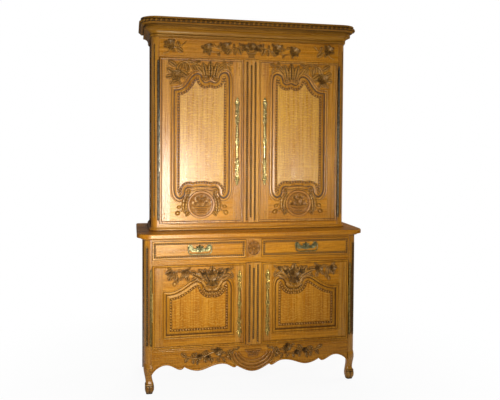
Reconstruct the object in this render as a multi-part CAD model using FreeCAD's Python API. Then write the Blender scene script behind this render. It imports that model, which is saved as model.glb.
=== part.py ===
import FreeCAD, Part
import os

# A two-piece buffet in oak: a base with two drawers over two doors, and a shallower upper
# cupboard with two doors under a cornice.
# Millimetres. X runs to the right, Y to the back and Z up. The origin is on the floor, under
# the middle of the overall box, and the front faces -Y.

# Overall sizes
total_height = 2350.0
table_height = 1003.0
base_width = 1386.0
base_depth = 510.0
upper_side_setback = 48.0
upper_setback = 112.0

# Table top
table_overhang = 42.0
table_nose = 26.0
table_bed = 12.0
table_bed_overhang = 20.0
table_round = 9.0

# Heights of the front, from the floor to the cornice: the doors take what is left
sill_level = 277.0
drawer_rail_height = 34.0
drawer_height = 117.0
top_rail_height = 12.0
upper_bottom_rail_height = 45.0
frieze_height = 128.0
cornice_height = 115.0

# Frame timbers
post_width = 50.0
post_depth = 56.0
post_flat = 3.0
post_arris = 3.0
post_flute_angle = 35.0
post_flute_margin = 45.0
rear_post = 46.0
frame_thickness = 24.0
side_thickness = 22.0
side_inset = 6.0
side_rail_height = 85.0
side_bottom_level = 180.0
middle_rail_rise = 637.0
middle_rail_height = 60.0
side_panel_thickness = 12.0
panel_tongue = 8.0
back_thickness = 10.0
back_board_count = 6
board_thickness = 18.0
centre_half_width = 50.0
centre_proud = 5.0
top_rail_depth = 60.0
drawer_rail_depth = 40.0
tenon_thickness = 8.0
tenon_length = 25.0
tenon_shoulder = 12.0
short_tenon = 6.0

# Flutes of the centre posts and corner posts
flute_radius = 6.5
flute_depth = 4.5
flute_spacing = 27.0
flute_margin = 16.0
flute_middle_margin = 36.0

# Feet, as (level, centre from outer side, centre from front, width, depth, outer radius, radius)
foot_top_level = 186.0
foot_pad_height = 8.0
foot_sections = [
    (138.0, 25.5, 22.0, 50.0, 60.0, 38.0, 5.0),
    (96.0, 30.0, 30.0, 42.0, 44.0, 18.0, 10.0),
    (72.0, 34.0, 27.0, 44.0, 46.0, 16.0, 12.0),
    (46.0, 37.0, 17.0, 53.0, 54.0, 18.0, 16.0),
    (24.0, 37.0, 18.0, 51.0, 52.0, 18.0, 16.0),
    (foot_pad_height, 36.0, 25.0, 38.0, 40.0, 14.0, 14.0),
]

# Apron: its lower edge from the middle outwards, as shares of half its length and of its height
apron_setback = 2.0
apron_height = 177.0
apron_drop = [(0.0, 1.0), (0.07, 0.949), (0.124, 0.853), (0.166, 0.768)]
apron_arch = [(0.166, 0.768), (0.18, 0.814), (0.249, 0.718), (0.333, 0.661), (0.407, 0.712),
              (0.537, 0.853), (0.638, 0.785), (0.687, 0.689)]
apron_tip = [(0.687, 0.689), (0.723, 0.78), (0.778, 0.701), (0.855, 0.588), (0.93, 0.65)]
apron_end = 0.898

# Doors
door_gap = 2.0
hinge_gap = 3.0
stile_width = 66.0
upper_door_top_rail = 183.0
upper_door_bottom_rail = 231.0
base_door_top_rail = 171.0
base_door_bottom_rail = 80.0
panel_back = 12.0
panel_plate = 6.0
panel_recess = 5.0
groove_clearance = 1.0

# Openings of the doors: shares of the opening's width from the hinge side, with the height of
# the rail there as a share of its full height
upper_top_curves = [
    [(0.0, 1.0), (0.15, 0.934), (0.26, 0.754), (0.355, 0.552), (0.43, 0.497), (0.49, 0.552),
     (0.52, 0.656), (0.53, 0.803)],
    [(0.53, 0.803), (0.625, 0.743), (0.715, 0.803)],
    [(0.715, 0.803), (0.735, 0.634), (0.78, 0.497), (0.845, 0.443), (0.91, 0.464), (0.955, 0.557),
     (0.98, 0.71), (1.0, 0.929)],
]
upper_bottom_lobe = [(0.0, 0.866), (0.03, 0.727), (0.085, 0.623), (0.142, 0.597), (0.2, 0.619),
                     (0.25, 0.706), (0.278, 0.866), (0.285, 0.935)]
upper_bottom_arch = [(0.285, 0.935), (0.35, 0.978), (0.5, 1.0), (0.65, 0.978), (0.715, 0.935)]
upper_bottom_curves = [
    upper_bottom_lobe,
    upper_bottom_arch,
    [(1.0 - share, height) for share, height in reversed(upper_bottom_lobe)],
]
base_top_curves = [
    [(0.0, 0.953), (0.09, 0.977), (0.17, 0.947), (0.27, 0.819), (0.37, 0.614), (0.475, 0.544),
     (0.545, 0.655), (0.585, 0.819), (0.62, 0.959)],
    [(0.62, 0.959), (0.675, 1.0), (0.735, 0.959)],
    [(0.735, 0.959), (0.765, 0.819), (0.79, 0.655), (0.87, 0.52), (0.945, 0.602), (0.985, 0.807),
     (1.0, 0.965)],
]
base_bottom_curves = [[(0.0, 1.0), (1.0, 1.0)]]

# Raised fields of the door panels, in the same shares: they keep clear of the openings' edges
upper_field_tops = [
    [(0.12, 1.262), (0.2, 1.208), (0.28, 1.077), (0.345, 0.891), (0.39, 0.732), (0.425, 0.678),
     (0.465, 0.765), (0.52, 0.945)],
    [(0.52, 0.945), (0.56, 0.973), (0.625, 0.918), (0.69, 0.973), (0.735, 0.929)],
    [(0.735, 0.929), (0.79, 0.743), (0.835, 0.628), (0.868, 0.721), (0.88, 1.093)],
]
upper_field_lobe = [(0.12, 0.961), (0.126, 0.87), (0.145, 0.797), (0.165, 0.844), (0.175, 0.918),
                    (0.2, 1.022), (0.26, 1.087)]
upper_field_arch = [(0.26, 1.087), (0.36, 1.1), (0.5, 1.139), (0.64, 1.1), (0.74, 1.087)]
upper_field_bottoms = [
    upper_field_lobe,
    upper_field_arch,
    [(1.0 - share, height) for share, height in reversed(upper_field_lobe)],
]
base_field_tops = [
    [(0.118, 1.228), (0.219, 1.17), (0.316, 1.006), (0.404, 0.825), (0.487, 0.725), (0.518, 0.877),
     (0.546, 1.041), (0.61, 1.146)],
    [(0.61, 1.146), (0.673, 1.111), (0.737, 1.152)],
    [(0.737, 1.152), (0.803, 1.053), (0.827, 0.906), (0.857, 0.772), (0.882, 0.848), (0.882, 1.17)],
]
base_field_bottoms = [[(0.118, 1.4), (0.882, 1.4)]]

# Long barrel hinges
barrel_radius = 5.5
pin_radius = 3.0
pin_clearance = 0.05
barrel_gap = 0.5
barrel_outset = 6.5
hinge_margin = 35.0
knuckle_length_share = 0.3
knuckle_clearance = 0.4
leaf_thickness = 2.0
leaf_depth = 20.0
finial_radius = 5.5
finial_neck = 4.0

# Locks and their plates
lock_inset = 40.0
lock_case_width = 52.0
lock_case_height = 80.0
lock_case_depth = 14.0
bolt_height = 14.0
bolt_thickness = 8.0
bolt_length = 32.0
bolt_front_wall = 3.0
lock_clearance = 0.3
keyhole_radius = 4.0
keyhole_slot = 12.0
plate_thickness = 2.5
upper_plate_length = 574.0
base_plate_margin = 43.5
plate_half_width = 16.0
plate_outline = [(0.0, 0.0), (0.04, 0.35), (0.09, 0.2), (0.2, 0.55), (0.3, 0.3), (0.42, 0.6),
                 (0.5, 1.0)]

# Drawers
drawer_gap = 2.0
drawer_front_thickness = 22.0
drawer_side_thickness = 12.0
drawer_side_inset = 8.0
drawer_side_drop = 16.0
drawer_back_clearance = 38.0
drawer_bottom_thickness = 6.0
drawer_bottom_rise = 8.0
drawer_groove = 5.0
runner_clearance = 0.3
runner_width = 32.0
runner_height = 24.0
guide_clearance = 5.0
guide_height = 34.0

# Drawer pulls
pull_half_span = 60.0
pull_above_middle = 18.0
stud_radius = 8.0
stud_length = 19.0
rosette_radius = 15.0
rosette_thickness = 3.0
bail_stand = 14.0
bail_radius = 3.2
bail_pin_radius = 2.4
bail_pin_clearance = 0.06
bail_overhang = 12.5
bail_pin_depth = 11.0
bail_drop = 44.0
bail_bend = 24.0

# Shelves, with their undersides this far above the sills
base_shelf_rise = 253.0
lower_shelf_rise = 342.0
higher_shelf_rise = 702.0
shelf_setback = 75.0
shelf_clearance = 1.0
cleat_size = 20.0

# Dowels that locate the upper cupboard on the table top
dowel_radius = 8.0
dowel_end_gap = 1.0
dowel_clearance = 0.2
dowel_side_inset = 22.0
dowel_back_inset = 22.0
dowel_front_inset = 28.0

# Cornice profile, as (overhang, rise) with bulges and hollows as three-point arcs
cornice_thickness = 22.0
cornice_rises = {"fillet": 5.0, "astragal": 17.0, "cove": 47.0, "band": 60.0, "fascia": 74.0,
                 "drip": 80.0, "roll": 104.0}
cornice_overhangs = {"fillet": 5.0, "astragal": 10.5, "cove": 10.0, "band": 38.0, "fascia": 42.0,
                     "drip": 56.0, "roll": 68.0, "top": 62.0}

# How far apart two levels still count as one
level_tolerance = 0.01

# Places worked out from the sizes
back_y = (base_depth + table_overhang) / 2.0
base_front = back_y - base_depth
upper_front = base_front + upper_setback
base_half = base_width / 2.0
upper_half = base_half - upper_side_setback
base_open = base_half - post_width
upper_open = upper_half - post_width
post_round = post_width - post_flat - post_arris
table_under = table_height - table_nose - table_bed
drawer_head_level = table_under - top_rail_height
drawer_floor_level = drawer_head_level - drawer_height
door_head_level = drawer_floor_level - drawer_rail_height
upper_sill_level = table_height + upper_bottom_rail_height
cornice_level = total_height - cornice_height
upper_head_level = cornice_level - frieze_height
apron_end_level = sill_level - apron_end * apron_height
base_plate_length = door_head_level - sill_level - 2 * (door_gap + base_plate_margin)
barrel_stand = max(barrel_radius, finial_radius) + barrel_gap
drawer_length = base_depth - back_thickness - drawer_front_thickness - drawer_back_clearance
guide_half_width = centre_half_width + drawer_gap + drawer_side_inset - guide_clearance
dowel_depth = tenon_shoulder - dowel_end_gap
V = FreeCAD.Vector


def block(x0, x1, y0, y1, z0, z1):
    return Part.makeBox(x1 - x0, y1 - y0, z1 - z0, V(x0, y0, z0))


def mirrored(shape):
    return shape.mirror(V(0, 0, 0), V(1, 0, 0))


def pair(shape):
    return [shape, mirrored(shape)]


def save(name, solids):
    shape = solids[0] if len(solids) == 1 else Part.makeCompound(solids)
    shape.exportStep("parts/%s.step" % name)


def spline(points):
    # A smooth edge through (x, z) points, or a straight one through two.
    places = [V(x, 0, z) for x, z in points]
    if len(places) == 2:
        return Part.makeLine(places[0], places[1])
    curve = Part.BSplineCurve()
    curve.interpolate(places)
    return curve.toShape()


def line(start, end):
    return Part.makeLine(V(start[0], 0, start[1]), V(end[0], 0, end[1]))


def front_plate(edges, y0, y1):
    # A plate whose outline lies in the front plane, from y0 back to y1.
    face = Part.Face(Part.Wire(edges))
    face.translate(V(0, y0, 0))
    return face.extrude(V(0, y1 - y0, 0))


def rounded_section(x0, x1, y0, y1, z, outer_radius, radius):
    # A closed wire in plan on the left side: the outer front corner is at (x0, y0).
    corners = [(x0, y0, outer_radius), (x1, y0, radius), (x1, y1, radius), (x0, y1, radius)]
    inward = [(1, 1), (-1, 1), (-1, -1), (1, -1)]
    edges = []
    ends = []
    for (x, y, r), (dx, dy) in zip(corners, inward):
        along_x = V(x + dx * r, y, z)
        along_y = V(x, y + dy * r, z)
        slack = r * (1.0 - 0.5 ** 0.5)
        middle = V(x + dx * slack, y + dy * slack, z)
        first, last = (along_y, along_x) if dx * dy > 0 else (along_x, along_y)
        edges.append(Part.Arc(first, middle, last).toShape())
        ends.append((first, last))
    outline = []
    for index, edge in enumerate(edges):
        outline.append(edge)
        outline.append(Part.makeLine(ends[index][1], ends[(index + 1) % 4][0]))
    return Part.Wire(outline)


def flute(x, y_face, z0, z1):
    # A round-ended vertical groove cutter in a face that looks to -Y.
    y = y_face + flute_depth - flute_radius
    tube = Part.makeCylinder(flute_radius, z1 - z0, V(x, y, z0))
    ends = [Part.makeSphere(flute_radius, V(x, y, z)) for z in (z0, z1)]
    return tube.fuse(ends)


def corner_flute(half_width, front, z0, z1):
    # The groove on the left rounded corner, turned to face outwards.
    centre = V(-half_width + post_round, front + post_round, 0)
    groove = flute(centre.x, front, z0, z1)
    groove.rotate(centre, V(0, 0, 1), -post_flute_angle)
    return groove


def front_post(half_width, front, z0, z1):
    wire = rounded_section(-half_width, -half_width + post_width, front, front + post_depth, z0,
                           post_round, post_arris)
    return Part.Face(wire).extrude(V(0, 0, z1 - z0))


def foot():
    # The left front foot: a knee, an ankle and a rolled toe on a pad, flat where the apron meets it.
    top = rounded_section(-base_half, -base_half + post_width, base_front, base_front + post_depth,
                          foot_top_level, post_round, post_arris)
    wires = [top]
    for level, side, ahead, width, depth, outer_radius, radius in foot_sections:
        x = -base_half + side
        y = base_front + ahead
        wires.append(rounded_section(x - width / 2, x + width / 2, y - depth / 2, y + depth / 2,
                                     level, outer_radius, radius))
    leg = Part.makeLoft(wires, True)
    pad = Part.Face(wires[-1]).extrude(V(0, 0, -foot_pad_height))
    apron_side = block(-base_open, -base_open + post_width, base_front - post_depth,
                       base_front + 2 * post_depth, apron_end_level, foot_top_level)
    return leg.fuse(pad).cut(apron_side)


def tenon(x0, x1, front, z0, z1):
    middle = front + tenon_shoulder
    return block(x0, x1, middle - tenon_thickness / 2, middle + tenon_thickness / 2, z0, z1)


def rail_with_tenons(half_span, front, depth, z0, z1, margin):
    # A front rail from post to post, with a tenon at each end.
    rail = block(-half_span, half_span, front, front + depth, z0, z1)
    left = tenon(-half_span - tenon_length, -half_span, front, z0 + margin, z1 - margin)
    return rail.fuse(pair(left)), pair(left)


def upright_with_tenons(front, depth, z0, z1, lower, upper):
    # A centre upright with a tenon at its foot and its head.
    half = centre_half_width
    upright = block(-half, half, front, front + depth, z0, z1)
    spans = ((z0 - lower, z0), (z1, z1 + upper))
    ends = [tenon(-half / 2, half / 2, front, low, high) for low, high in spans]
    return upright.fuse(ends), ends


def outline_points(curves, x0, x1, z, rail):
    # Curves given in shares, from x0 to x1 and from the level z by the rail's signed height.
    return [[(x0 + share * (x1 - x0), z + height * rail) for share, height in curve] for curve in curves]


def shaped_edges(tops, bottoms):
    # The outline of a door's opening or of its raised field, joined by straight sides.
    edges = [spline(points) for points in tops + bottoms]
    edges.append(line(tops[-1][-1], bottoms[-1][-1]))
    edges.append(line(bottoms[0][0], tops[0][0]))
    return Part.__sortEdges__(edges)


def keyhole(x, y, z, depth):
    hole = Part.makeCylinder(keyhole_radius, depth, V(x, y, z), V(0, 1, 0))
    slot = block(x - keyhole_radius / 2, x + keyhole_radius / 2, y, y + depth, z - keyhole_slot, z)
    return hole.fuse(slot)


def hinge(open_x, front, z0, z1):
    # The left hinge of an opening whose post face is at open_x: fixed half, moving half, and
    # the two recesses that their leaves lie in.
    axis_x = open_x - barrel_outset
    axis_y = front - barrel_stand
    low = z0 + hinge_margin
    high = z1 - hinge_margin
    share = (high - low) * knuckle_length_share
    fixed_spans = [(low, low + share), (high - share, high)]
    moving_span = (low + share + knuckle_clearance, high - share - knuckle_clearance)
    door_x = open_x + hinge_gap

    def knuckle(span, leaf_x):
        height = span[1] - span[0]
        barrel = Part.makeCylinder(barrel_radius, height, V(axis_x, axis_y, span[0]))
        arm = block(axis_x, leaf_x + leaf_thickness, axis_y, axis_y + leaf_thickness, *span)
        leaf = block(leaf_x, leaf_x + leaf_thickness, axis_y, front + leaf_depth, *span)
        return barrel.fuse([arm, leaf])

    def recess(span, leaf_x):
        return block(leaf_x, leaf_x + leaf_thickness, front, front + leaf_depth, *span)

    pin = Part.makeCylinder(pin_radius, high - low, V(axis_x, axis_y, low))
    pieces = [knuckle(span, open_x - leaf_thickness) for span in fixed_spans]
    for level, way in ((low, -1), (high, 1)):
        reach = finial_neck + finial_radius
        neck = Part.makeCylinder(pin_radius, reach, V(axis_x, axis_y, level), V(0, 0, way))
        ball = Part.makeSphere(finial_radius, V(axis_x, axis_y, level + way * reach))
        pieces.extend([neck, ball])
    fixed = pin.fuse(pieces).removeSplitter()
    bore = Part.makeCylinder(pin_radius + pin_clearance, moving_span[1] - moving_span[0],
                             V(axis_x, axis_y, moving_span[0]))
    moving = knuckle(moving_span, door_x).cut(bore)
    post_recess = [recess(span, open_x - leaf_thickness) for span in fixed_spans]
    return fixed, moving, post_recess, recess(moving_span, door_x)


def lock_plate(x, front, z, length):
    # A long pierced plate with waved sides and a keyhole.
    right = [(x + side * plate_half_width, z - length / 2 + share * length)
             for share, side in plate_outline]
    right += [(px, 2 * z - pz) for px, pz in reversed(right[:-1])]
    left = [(2 * x - px, pz) for px, pz in right]
    edges = Part.__sortEdges__([spline(right), spline(left)])
    plate = front_plate(edges, front - plate_thickness, front)
    return plate.cut(keyhole(x, front - plate_thickness, z, plate_thickness))


def door(open_x, front, z0, z1, tops, bottoms, plate_length):
    # A left-hand door with its frame, panel, hinge, lock plate, lock case and bolt.
    # tops and bottoms are each a rail's height, its curves and the field's curves beside it.
    x_hinge = -open_x + hinge_gap
    x_lock = -centre_half_width - door_gap
    bottom = z0 + door_gap
    top = z1 - door_gap
    back = front + frame_thickness
    x0 = x_hinge + stile_width
    x1 = x_lock - stile_width
    rail_drop = tops[0]
    least_drop = rail_drop * min(height for curve in tops[1] for share, height in curve)
    rail_rise = bottoms[0]
    least_rise = rail_rise * min(height for curve in bottoms[1] for share, height in curve)

    fixed, moving, post_recess, door_recess = hinge(-open_x, front, bottom, top)
    rail_curves = [outline_points(tops[1], x0, x1, top, -rail_drop),
                   outline_points(bottoms[1], x0, x1, bottom, rail_rise)]
    opening = front_plate(shaped_edges(*rail_curves), front, back)
    plate_y = front + panel_back
    groove = block(x0 - panel_tongue - groove_clearance, x1 + panel_tongue + groove_clearance,
                   plate_y, plate_y + panel_plate,
                   bottom + least_rise - panel_tongue - groove_clearance,
                   top - least_drop + panel_tongue + groove_clearance)

    tenon_y = front + panel_back - tenon_thickness
    top_tenons = []
    bottom_tenons = []
    reach = stile_width - tenon_shoulder
    for inner, outer in ((x0 - reach, x0), (x1, x1 + reach)):
        top_tenons.append(block(inner, outer, tenon_y, tenon_y + tenon_thickness,
                                top - least_drop - tenon_shoulder, top - 2 * tenon_shoulder))
        bottom_tenons.append(block(inner, outer, tenon_y, tenon_y + tenon_thickness,
                                   bottom + tenon_shoulder, bottom + least_rise - tenon_shoulder))
    lock_x = x_lock - lock_inset
    lock_z = (bottom + top) / 2
    hinge_stile = block(x_hinge, x0, front, back, bottom, top)
    hinge_stile = hinge_stile.cut(top_tenons + bottom_tenons + [groove, door_recess])
    lock_stile = block(x1, x_lock, front, back, bottom, top)
    key_way = keyhole(lock_x, front, lock_z, frame_thickness)
    lock_stile = lock_stile.cut(top_tenons + bottom_tenons + [groove, key_way])
    top_rail = block(x0, x1, front, back, top - rail_drop, top)
    top_rail = top_rail.cut([opening, groove]).fuse(top_tenons)
    bottom_rail = block(x0, x1, front, back, bottom, bottom + rail_rise)
    bottom_rail = bottom_rail.cut([opening, groove]).fuse(bottom_tenons)

    plate = block(x0 - panel_tongue, x1 + panel_tongue, plate_y, plate_y + panel_plate,
                  bottom + least_rise - panel_tongue, top - least_drop + panel_tongue)
    field_curves = [outline_points(tops[2], x0, x1, top, -rail_drop),
                    outline_points(bottoms[2], x0, x1, bottom, rail_rise)]
    panel = plate.fuse(front_plate(shaped_edges(*field_curves), front + panel_recess, plate_y))

    case_right = x_lock - door_gap
    case_left = case_right - lock_case_width
    bolt_front = back + bolt_front_wall
    case = block(case_left, case_right, back, back + lock_case_depth,
                 lock_z - lock_case_height / 2, lock_z + lock_case_height / 2)
    slot_z = lock_z + lock_case_height / 4
    bolt = block(case_right - bolt_length, case_right, bolt_front, bolt_front + bolt_thickness,
                 slot_z - bolt_height / 2, slot_z + bolt_height / 2)
    slot = block(case_right - bolt_length - lock_clearance, case_right, bolt_front - lock_clearance,
                 bolt_front + bolt_thickness + lock_clearance, slot_z - bolt_height / 2 - lock_clearance,
                 slot_z + bolt_height / 2 + lock_clearance)
    case = case.cut([slot, keyhole(lock_x, back, lock_z, lock_case_depth / 2)])
    return {
        "door_frame": [hinge_stile, lock_stile, top_rail, bottom_rail],
        "door_panel": [panel],
        "door_hinge": [moving],
        "lock_plate": [lock_plate(lock_x, front, lock_z, plate_length)],
        "lock_case": [case],
        "lock_bolt": [bolt],
    }, fixed, post_recess


def save_doors(row, pieces):
    # The left door as built, and the right one as its mirror image.
    for kind, solids in pieces.items():
        save("%s_left_%s" % (row, kind), solids)
        save("%s_right_%s" % (row, kind), [mirrored(solid) for solid in solids])


def side_frame(half_width, front, z0, z1, middle):
    # The left side between its posts: rails, floating panels and the cutter for their grooves.
    outer = -half_width + side_inset
    y0 = front + post_depth
    y1 = back_y - rear_post
    levels = [(z0, z0 + side_rail_height)]
    if middle:
        levels.append((middle, middle + middle_rail_height))
    levels.append((z1 - side_rail_height, z1))
    panel_x = outer + (side_thickness - side_panel_thickness) / 2
    panels = []
    for below, above in zip(levels[:-1], levels[1:]):
        panels.append(block(panel_x, panel_x + side_panel_thickness, y0 - panel_tongue, y1 + panel_tongue,
                            below[1] - panel_tongue, above[0] + panel_tongue))
    tongue_x = outer + (side_thickness - tenon_thickness) / 2
    rails = []
    tenons = []
    for low, high in levels:
        ends = [block(tongue_x, tongue_x + tenon_thickness, start, end, low + tenon_shoulder,
                      high - tenon_shoulder)
                for start, end in ((y0 - tenon_length, y0), (y1, y1 + tenon_length))]
        rail = block(outer, outer + side_thickness, y0, y1, low, high).fuse(ends).cut(panels)
        rails.append(rail)
        tenons.extend(ends)
    return rails, panels, panels + tenons


def back_boards(half_width, z0, z1):
    inner = half_width - rear_post
    width = 2 * inner / back_board_count
    return [block(-inner + n * width, -inner + (n + 1) * width, back_y - back_thickness, back_y, z0, z1)
            for n in range(back_board_count)]


def floor_board(half_width, front, z_top, posts):
    side = half_width - side_inset - side_thickness
    board = block(-side, side, front + frame_thickness + apron_setback, back_y - back_thickness,
                  z_top - board_thickness, z_top)
    return board.cut(posts)


def shelf(half_width, front, z):
    # A loose shelf on two cleats that run from post to post.
    side = half_width - side_inset - side_thickness
    reach = side - shelf_clearance
    board = block(-reach, reach, front + shelf_setback, back_y - rear_post - shelf_clearance,
                  z, z + board_thickness)
    cleat = block(-side, -side + cleat_size, front + post_depth, back_y - rear_post, z - cleat_size, z)
    return board, pair(cleat)


def table_plan(overhang, z):
    # Plan of a slab with rounded front corners, concentric with the posts.
    half = base_half + overhang
    front = base_front - overhang
    radius = post_round + overhang
    slack = radius * (1.0 - 0.5 ** 0.5)

    def corner(way):
        side = V(way * half, front + radius, z)
        middle = V(way * (half - slack), front + slack, z)
        return Part.Arc(side, middle, V(way * (half - radius), front, z)).toShape()

    return Part.Face(Part.Wire([
        corner(-1),
        Part.makeLine(V(-half + radius, front, z), V(half - radius, front, z)),
        corner(1),
        Part.makeLine(V(half, front + radius, z), V(half, back_y, z)),
        Part.makeLine(V(half, back_y, z), V(-half, back_y, z)),
        Part.makeLine(V(-half, back_y, z), V(-half, front + radius, z)),
    ]))


def rim_edges(solid, z):
    # The edges of a slab at one level, without the straight one along the back.
    edges = []
    for edge in solid.Edges:
        box = edge.BoundBox
        level = abs(box.ZMin - z) < level_tolerance and abs(box.ZMax - z) < level_tolerance
        if level and box.YMin < back_y - level_tolerance:
            edges.append(edge)
    return edges


def table_top():
    nose = table_plan(table_overhang, table_height - table_nose).extrude(V(0, 0, table_nose))
    nose = nose.makeFillet(table_round, rim_edges(nose, table_height))
    bed = table_plan(table_bed_overhang, table_under).extrude(V(0, 0, table_bed))
    bed = bed.makeFillet(table_round, rim_edges(bed, table_under))
    return nose.fuse(bed).removeSplitter()


def cornice_profile():
    # The section in the YZ plane, with the overhang to -Y from the upper front.
    def place(overhang, rise):
        return V(0, upper_front - overhang, cornice_level + rise)

    def bend(start, middle, end):
        return Part.Arc(place(*start), place(*middle), place(*end)).toShape()

    def straight(start, end):
        return Part.makeLine(place(*start), place(*end))

    out = cornice_overhangs
    up = cornice_rises
    bead = (up["fillet"] + up["astragal"]) / 2
    cove_reach = out["band"] - out["cove"]
    cove_rise = up["cove"] - up["astragal"]
    cove_middle = (out["cove"] + cove_reach * 0.3, up["astragal"] + cove_rise * 0.7)
    roll_base = out["top"]
    roll_middle = (up["drip"] + up["roll"]) / 2
    cap = (out["top"] + out["roll"]) / 2
    corners = [
        (-cornice_thickness, 0.0), (out["fillet"], 0.0), (out["fillet"], up["fillet"]),
        (out["fillet"], up["astragal"]), (out["cove"], up["astragal"]), (out["band"], up["cove"]),
        (out["fascia"], up["cove"]), (out["fascia"], up["band"]), (out["band"], up["band"]),
        (out["band"], up["fascia"]), (out["drip"], up["fascia"]), (roll_base, up["drip"]),
        (roll_base, up["roll"]), (cap, up["roll"]), (cap, cornice_height),
        (-cornice_thickness, cornice_height),
    ]
    bends = {2: (out["astragal"], bead), 4: cove_middle, 11: (out["roll"], roll_middle)}
    edges = []
    for index, start in enumerate(corners):
        end = corners[(index + 1) % len(corners)]
        edges.append(bend(start, bends[index], end) if index in bends else straight(start, end))
    return Part.Face(Part.Wire(edges))


def cornice():
    # A front length, two rounded corner blocks and two returns, meeting face to face.
    inner = upper_half - post_round
    profile = cornice_profile()
    profile.translate(V(-inner, 0, 0))
    front = profile.extrude(V(2 * inner, 0, 0))
    axis = V(-inner, upper_front + post_round, 0)
    corner = profile.revolve(axis, V(0, 0, 1), -90)
    turned = profile.copy()
    turned.rotate(axis, V(0, 0, 1), -90)
    side = turned.extrude(V(0, back_y - axis.y, 0))
    return [front] + pair(corner) + pair(side)


def drawer(front):
    # The left drawer: front board and box, closed.
    x0 = -base_open + drawer_gap
    x1 = -centre_half_width - drawer_gap
    bottom = drawer_floor_level + drawer_gap
    top = drawer_head_level - drawer_gap
    face = block(x0, x1, front, front + drawer_front_thickness, bottom, top)
    y0 = front + drawer_front_thickness
    y1 = y0 + drawer_length
    left = x0 + drawer_side_inset
    right = x1 - drawer_side_inset
    side_top = top - drawer_side_drop
    floor_z = bottom + drawer_bottom_rise
    inner_left = left + drawer_side_thickness
    inner_right = right - drawer_side_thickness
    rear_y = y1 - drawer_side_thickness
    floor = block(inner_left - drawer_groove, inner_right + drawer_groove, y0, rear_y,
                  floor_z, floor_z + drawer_bottom_thickness)
    sides = [block(x, x + drawer_side_thickness, y0, y1, bottom, side_top).cut(floor)
             for x in (left, inner_right)]
    rear = block(inner_left, inner_right, rear_y, y1, bottom, side_top)
    return face, sides + [rear, floor]


def pull(front):
    # The left drawer's two studs with their rosettes, and the bail that hangs from them.
    middle = -(base_open + centre_half_width) / 2
    z = (drawer_floor_level + drawer_head_level) / 2 + pull_above_middle
    y = front - bail_stand
    reach = pull_half_span + bail_overhang
    studs = []
    pins = []
    for way in (-1, 1):
        x = middle + way * pull_half_span
        stud = Part.makeCylinder(stud_radius, stud_length, V(x, front, z), V(0, -1, 0))
        rosette = Part.makeCylinder(rosette_radius, rosette_thickness, V(x, front, z), V(0, -1, 0))
        outer = V(middle + way * reach, y, z)
        pin_length = bail_pin_depth + bail_overhang
        pins.append(Part.makeCylinder(bail_pin_radius, pin_length, outer, V(-way, 0, 0)))
        bore = Part.makeCylinder(bail_pin_radius + bail_pin_clearance, pin_length, outer, V(-way, 0, 0))
        studs.append(stud.fuse(rosette).cut(bore))
    low = z - bail_drop
    slack = bail_bend * (1.0 - 0.5 ** 0.5)
    left = middle - reach
    right = middle + reach

    def quarter(x, way):
        # The rounded corner between an upright arm at x and the bar.
        start = V(x, y, low + bail_bend)
        return Part.Arc(start, V(x + way * slack, y, low + slack), V(x + way * bail_bend, y, low)).toShape()

    path = Part.Wire([
        Part.makeLine(V(left, y, z), V(left, y, low + bail_bend)),
        quarter(left, 1),
        Part.makeLine(V(left + bail_bend, y, low), V(right - bail_bend, y, low)),
        quarter(right, -1),
        Part.makeLine(V(right, y, low + bail_bend), V(right, y, z)),
    ])
    section = Part.Wire(Part.makeCircle(bail_radius, V(left, y, z), V(0, 0, 1)))
    bar = path.makePipeShell([section], True, False)
    knuckles = [Part.makeSphere(bail_radius, V(x, y, z)) for x in (left, right)]
    bail = bar.fuse(pins + knuckles)
    return studs, bail


def runners(front):
    # A bearer under each drawer's outer side, and one with a guide between the drawers.
    y0 = front + drawer_rail_depth
    y1 = back_y - back_thickness
    z1 = drawer_floor_level + drawer_gap - runner_clearance
    z0 = z1 - runner_height
    side = block(-base_open, -base_open + runner_width, y0, y1, z0, z1)
    half = centre_half_width + runner_width
    middle = block(-half, half, y0, y1, z0, z1)
    guide = block(-guide_half_width, guide_half_width, y0, y1, z1, z1 + guide_height)
    return pair(side) + [middle.fuse(guide).removeSplitter()]


def apron_outline():
    # The shaped lower edge, symmetrical about the middle, closed along the top.
    curves = [apron_drop, apron_arch, apron_tip + [(1.0, apron_end)]]
    right_half = outline_points(curves, 0.0, base_open, sill_level, -apron_height)
    left_half = [[(-x, z) for x, z in points] for points in right_half]
    edges = [spline(points) for points in right_half + left_half]
    edges.append(line((base_open, apron_end_level), (base_open, sill_level)))
    edges.append(line((base_open, sill_level), (-base_open, sill_level)))
    edges.append(line((-base_open, sill_level), (-base_open, apron_end_level)))
    return Part.__sortEdges__(edges)


def apron():
    front = base_front + apron_setback
    board = front_plate(apron_outline(), front, front + frame_thickness)
    left = tenon(-base_open - tenon_length, -base_open, front, apron_end_level + 2 * tenon_shoulder,
                 sill_level - tenon_shoulder)
    return board.fuse(pair(left)), pair(left)


def dowels():
    # Upright pegs, half in the table top and half in the upper posts.
    places = []
    for way in (-1, 1):
        x = way * (upper_half - dowel_side_inset)
        places.append((x, upper_front + dowel_front_inset))
        places.append((x, back_y - dowel_back_inset))
    z = table_height - dowel_depth
    pegs = [Part.makeCylinder(dowel_radius, 2 * dowel_depth, V(x, y, z)) for x, y in places]
    hole_radius = dowel_radius + dowel_clearance
    holes = [Part.makeCylinder(hole_radius, 2 * dowel_depth, V(x, y, z)) for x, y in places]
    return pegs, holes


def cut_posts(posts, cutters):
    every = []
    for cutter in cutters:
        every.extend(pair(cutter))
    return [post.cut(every) for post in posts]


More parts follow.
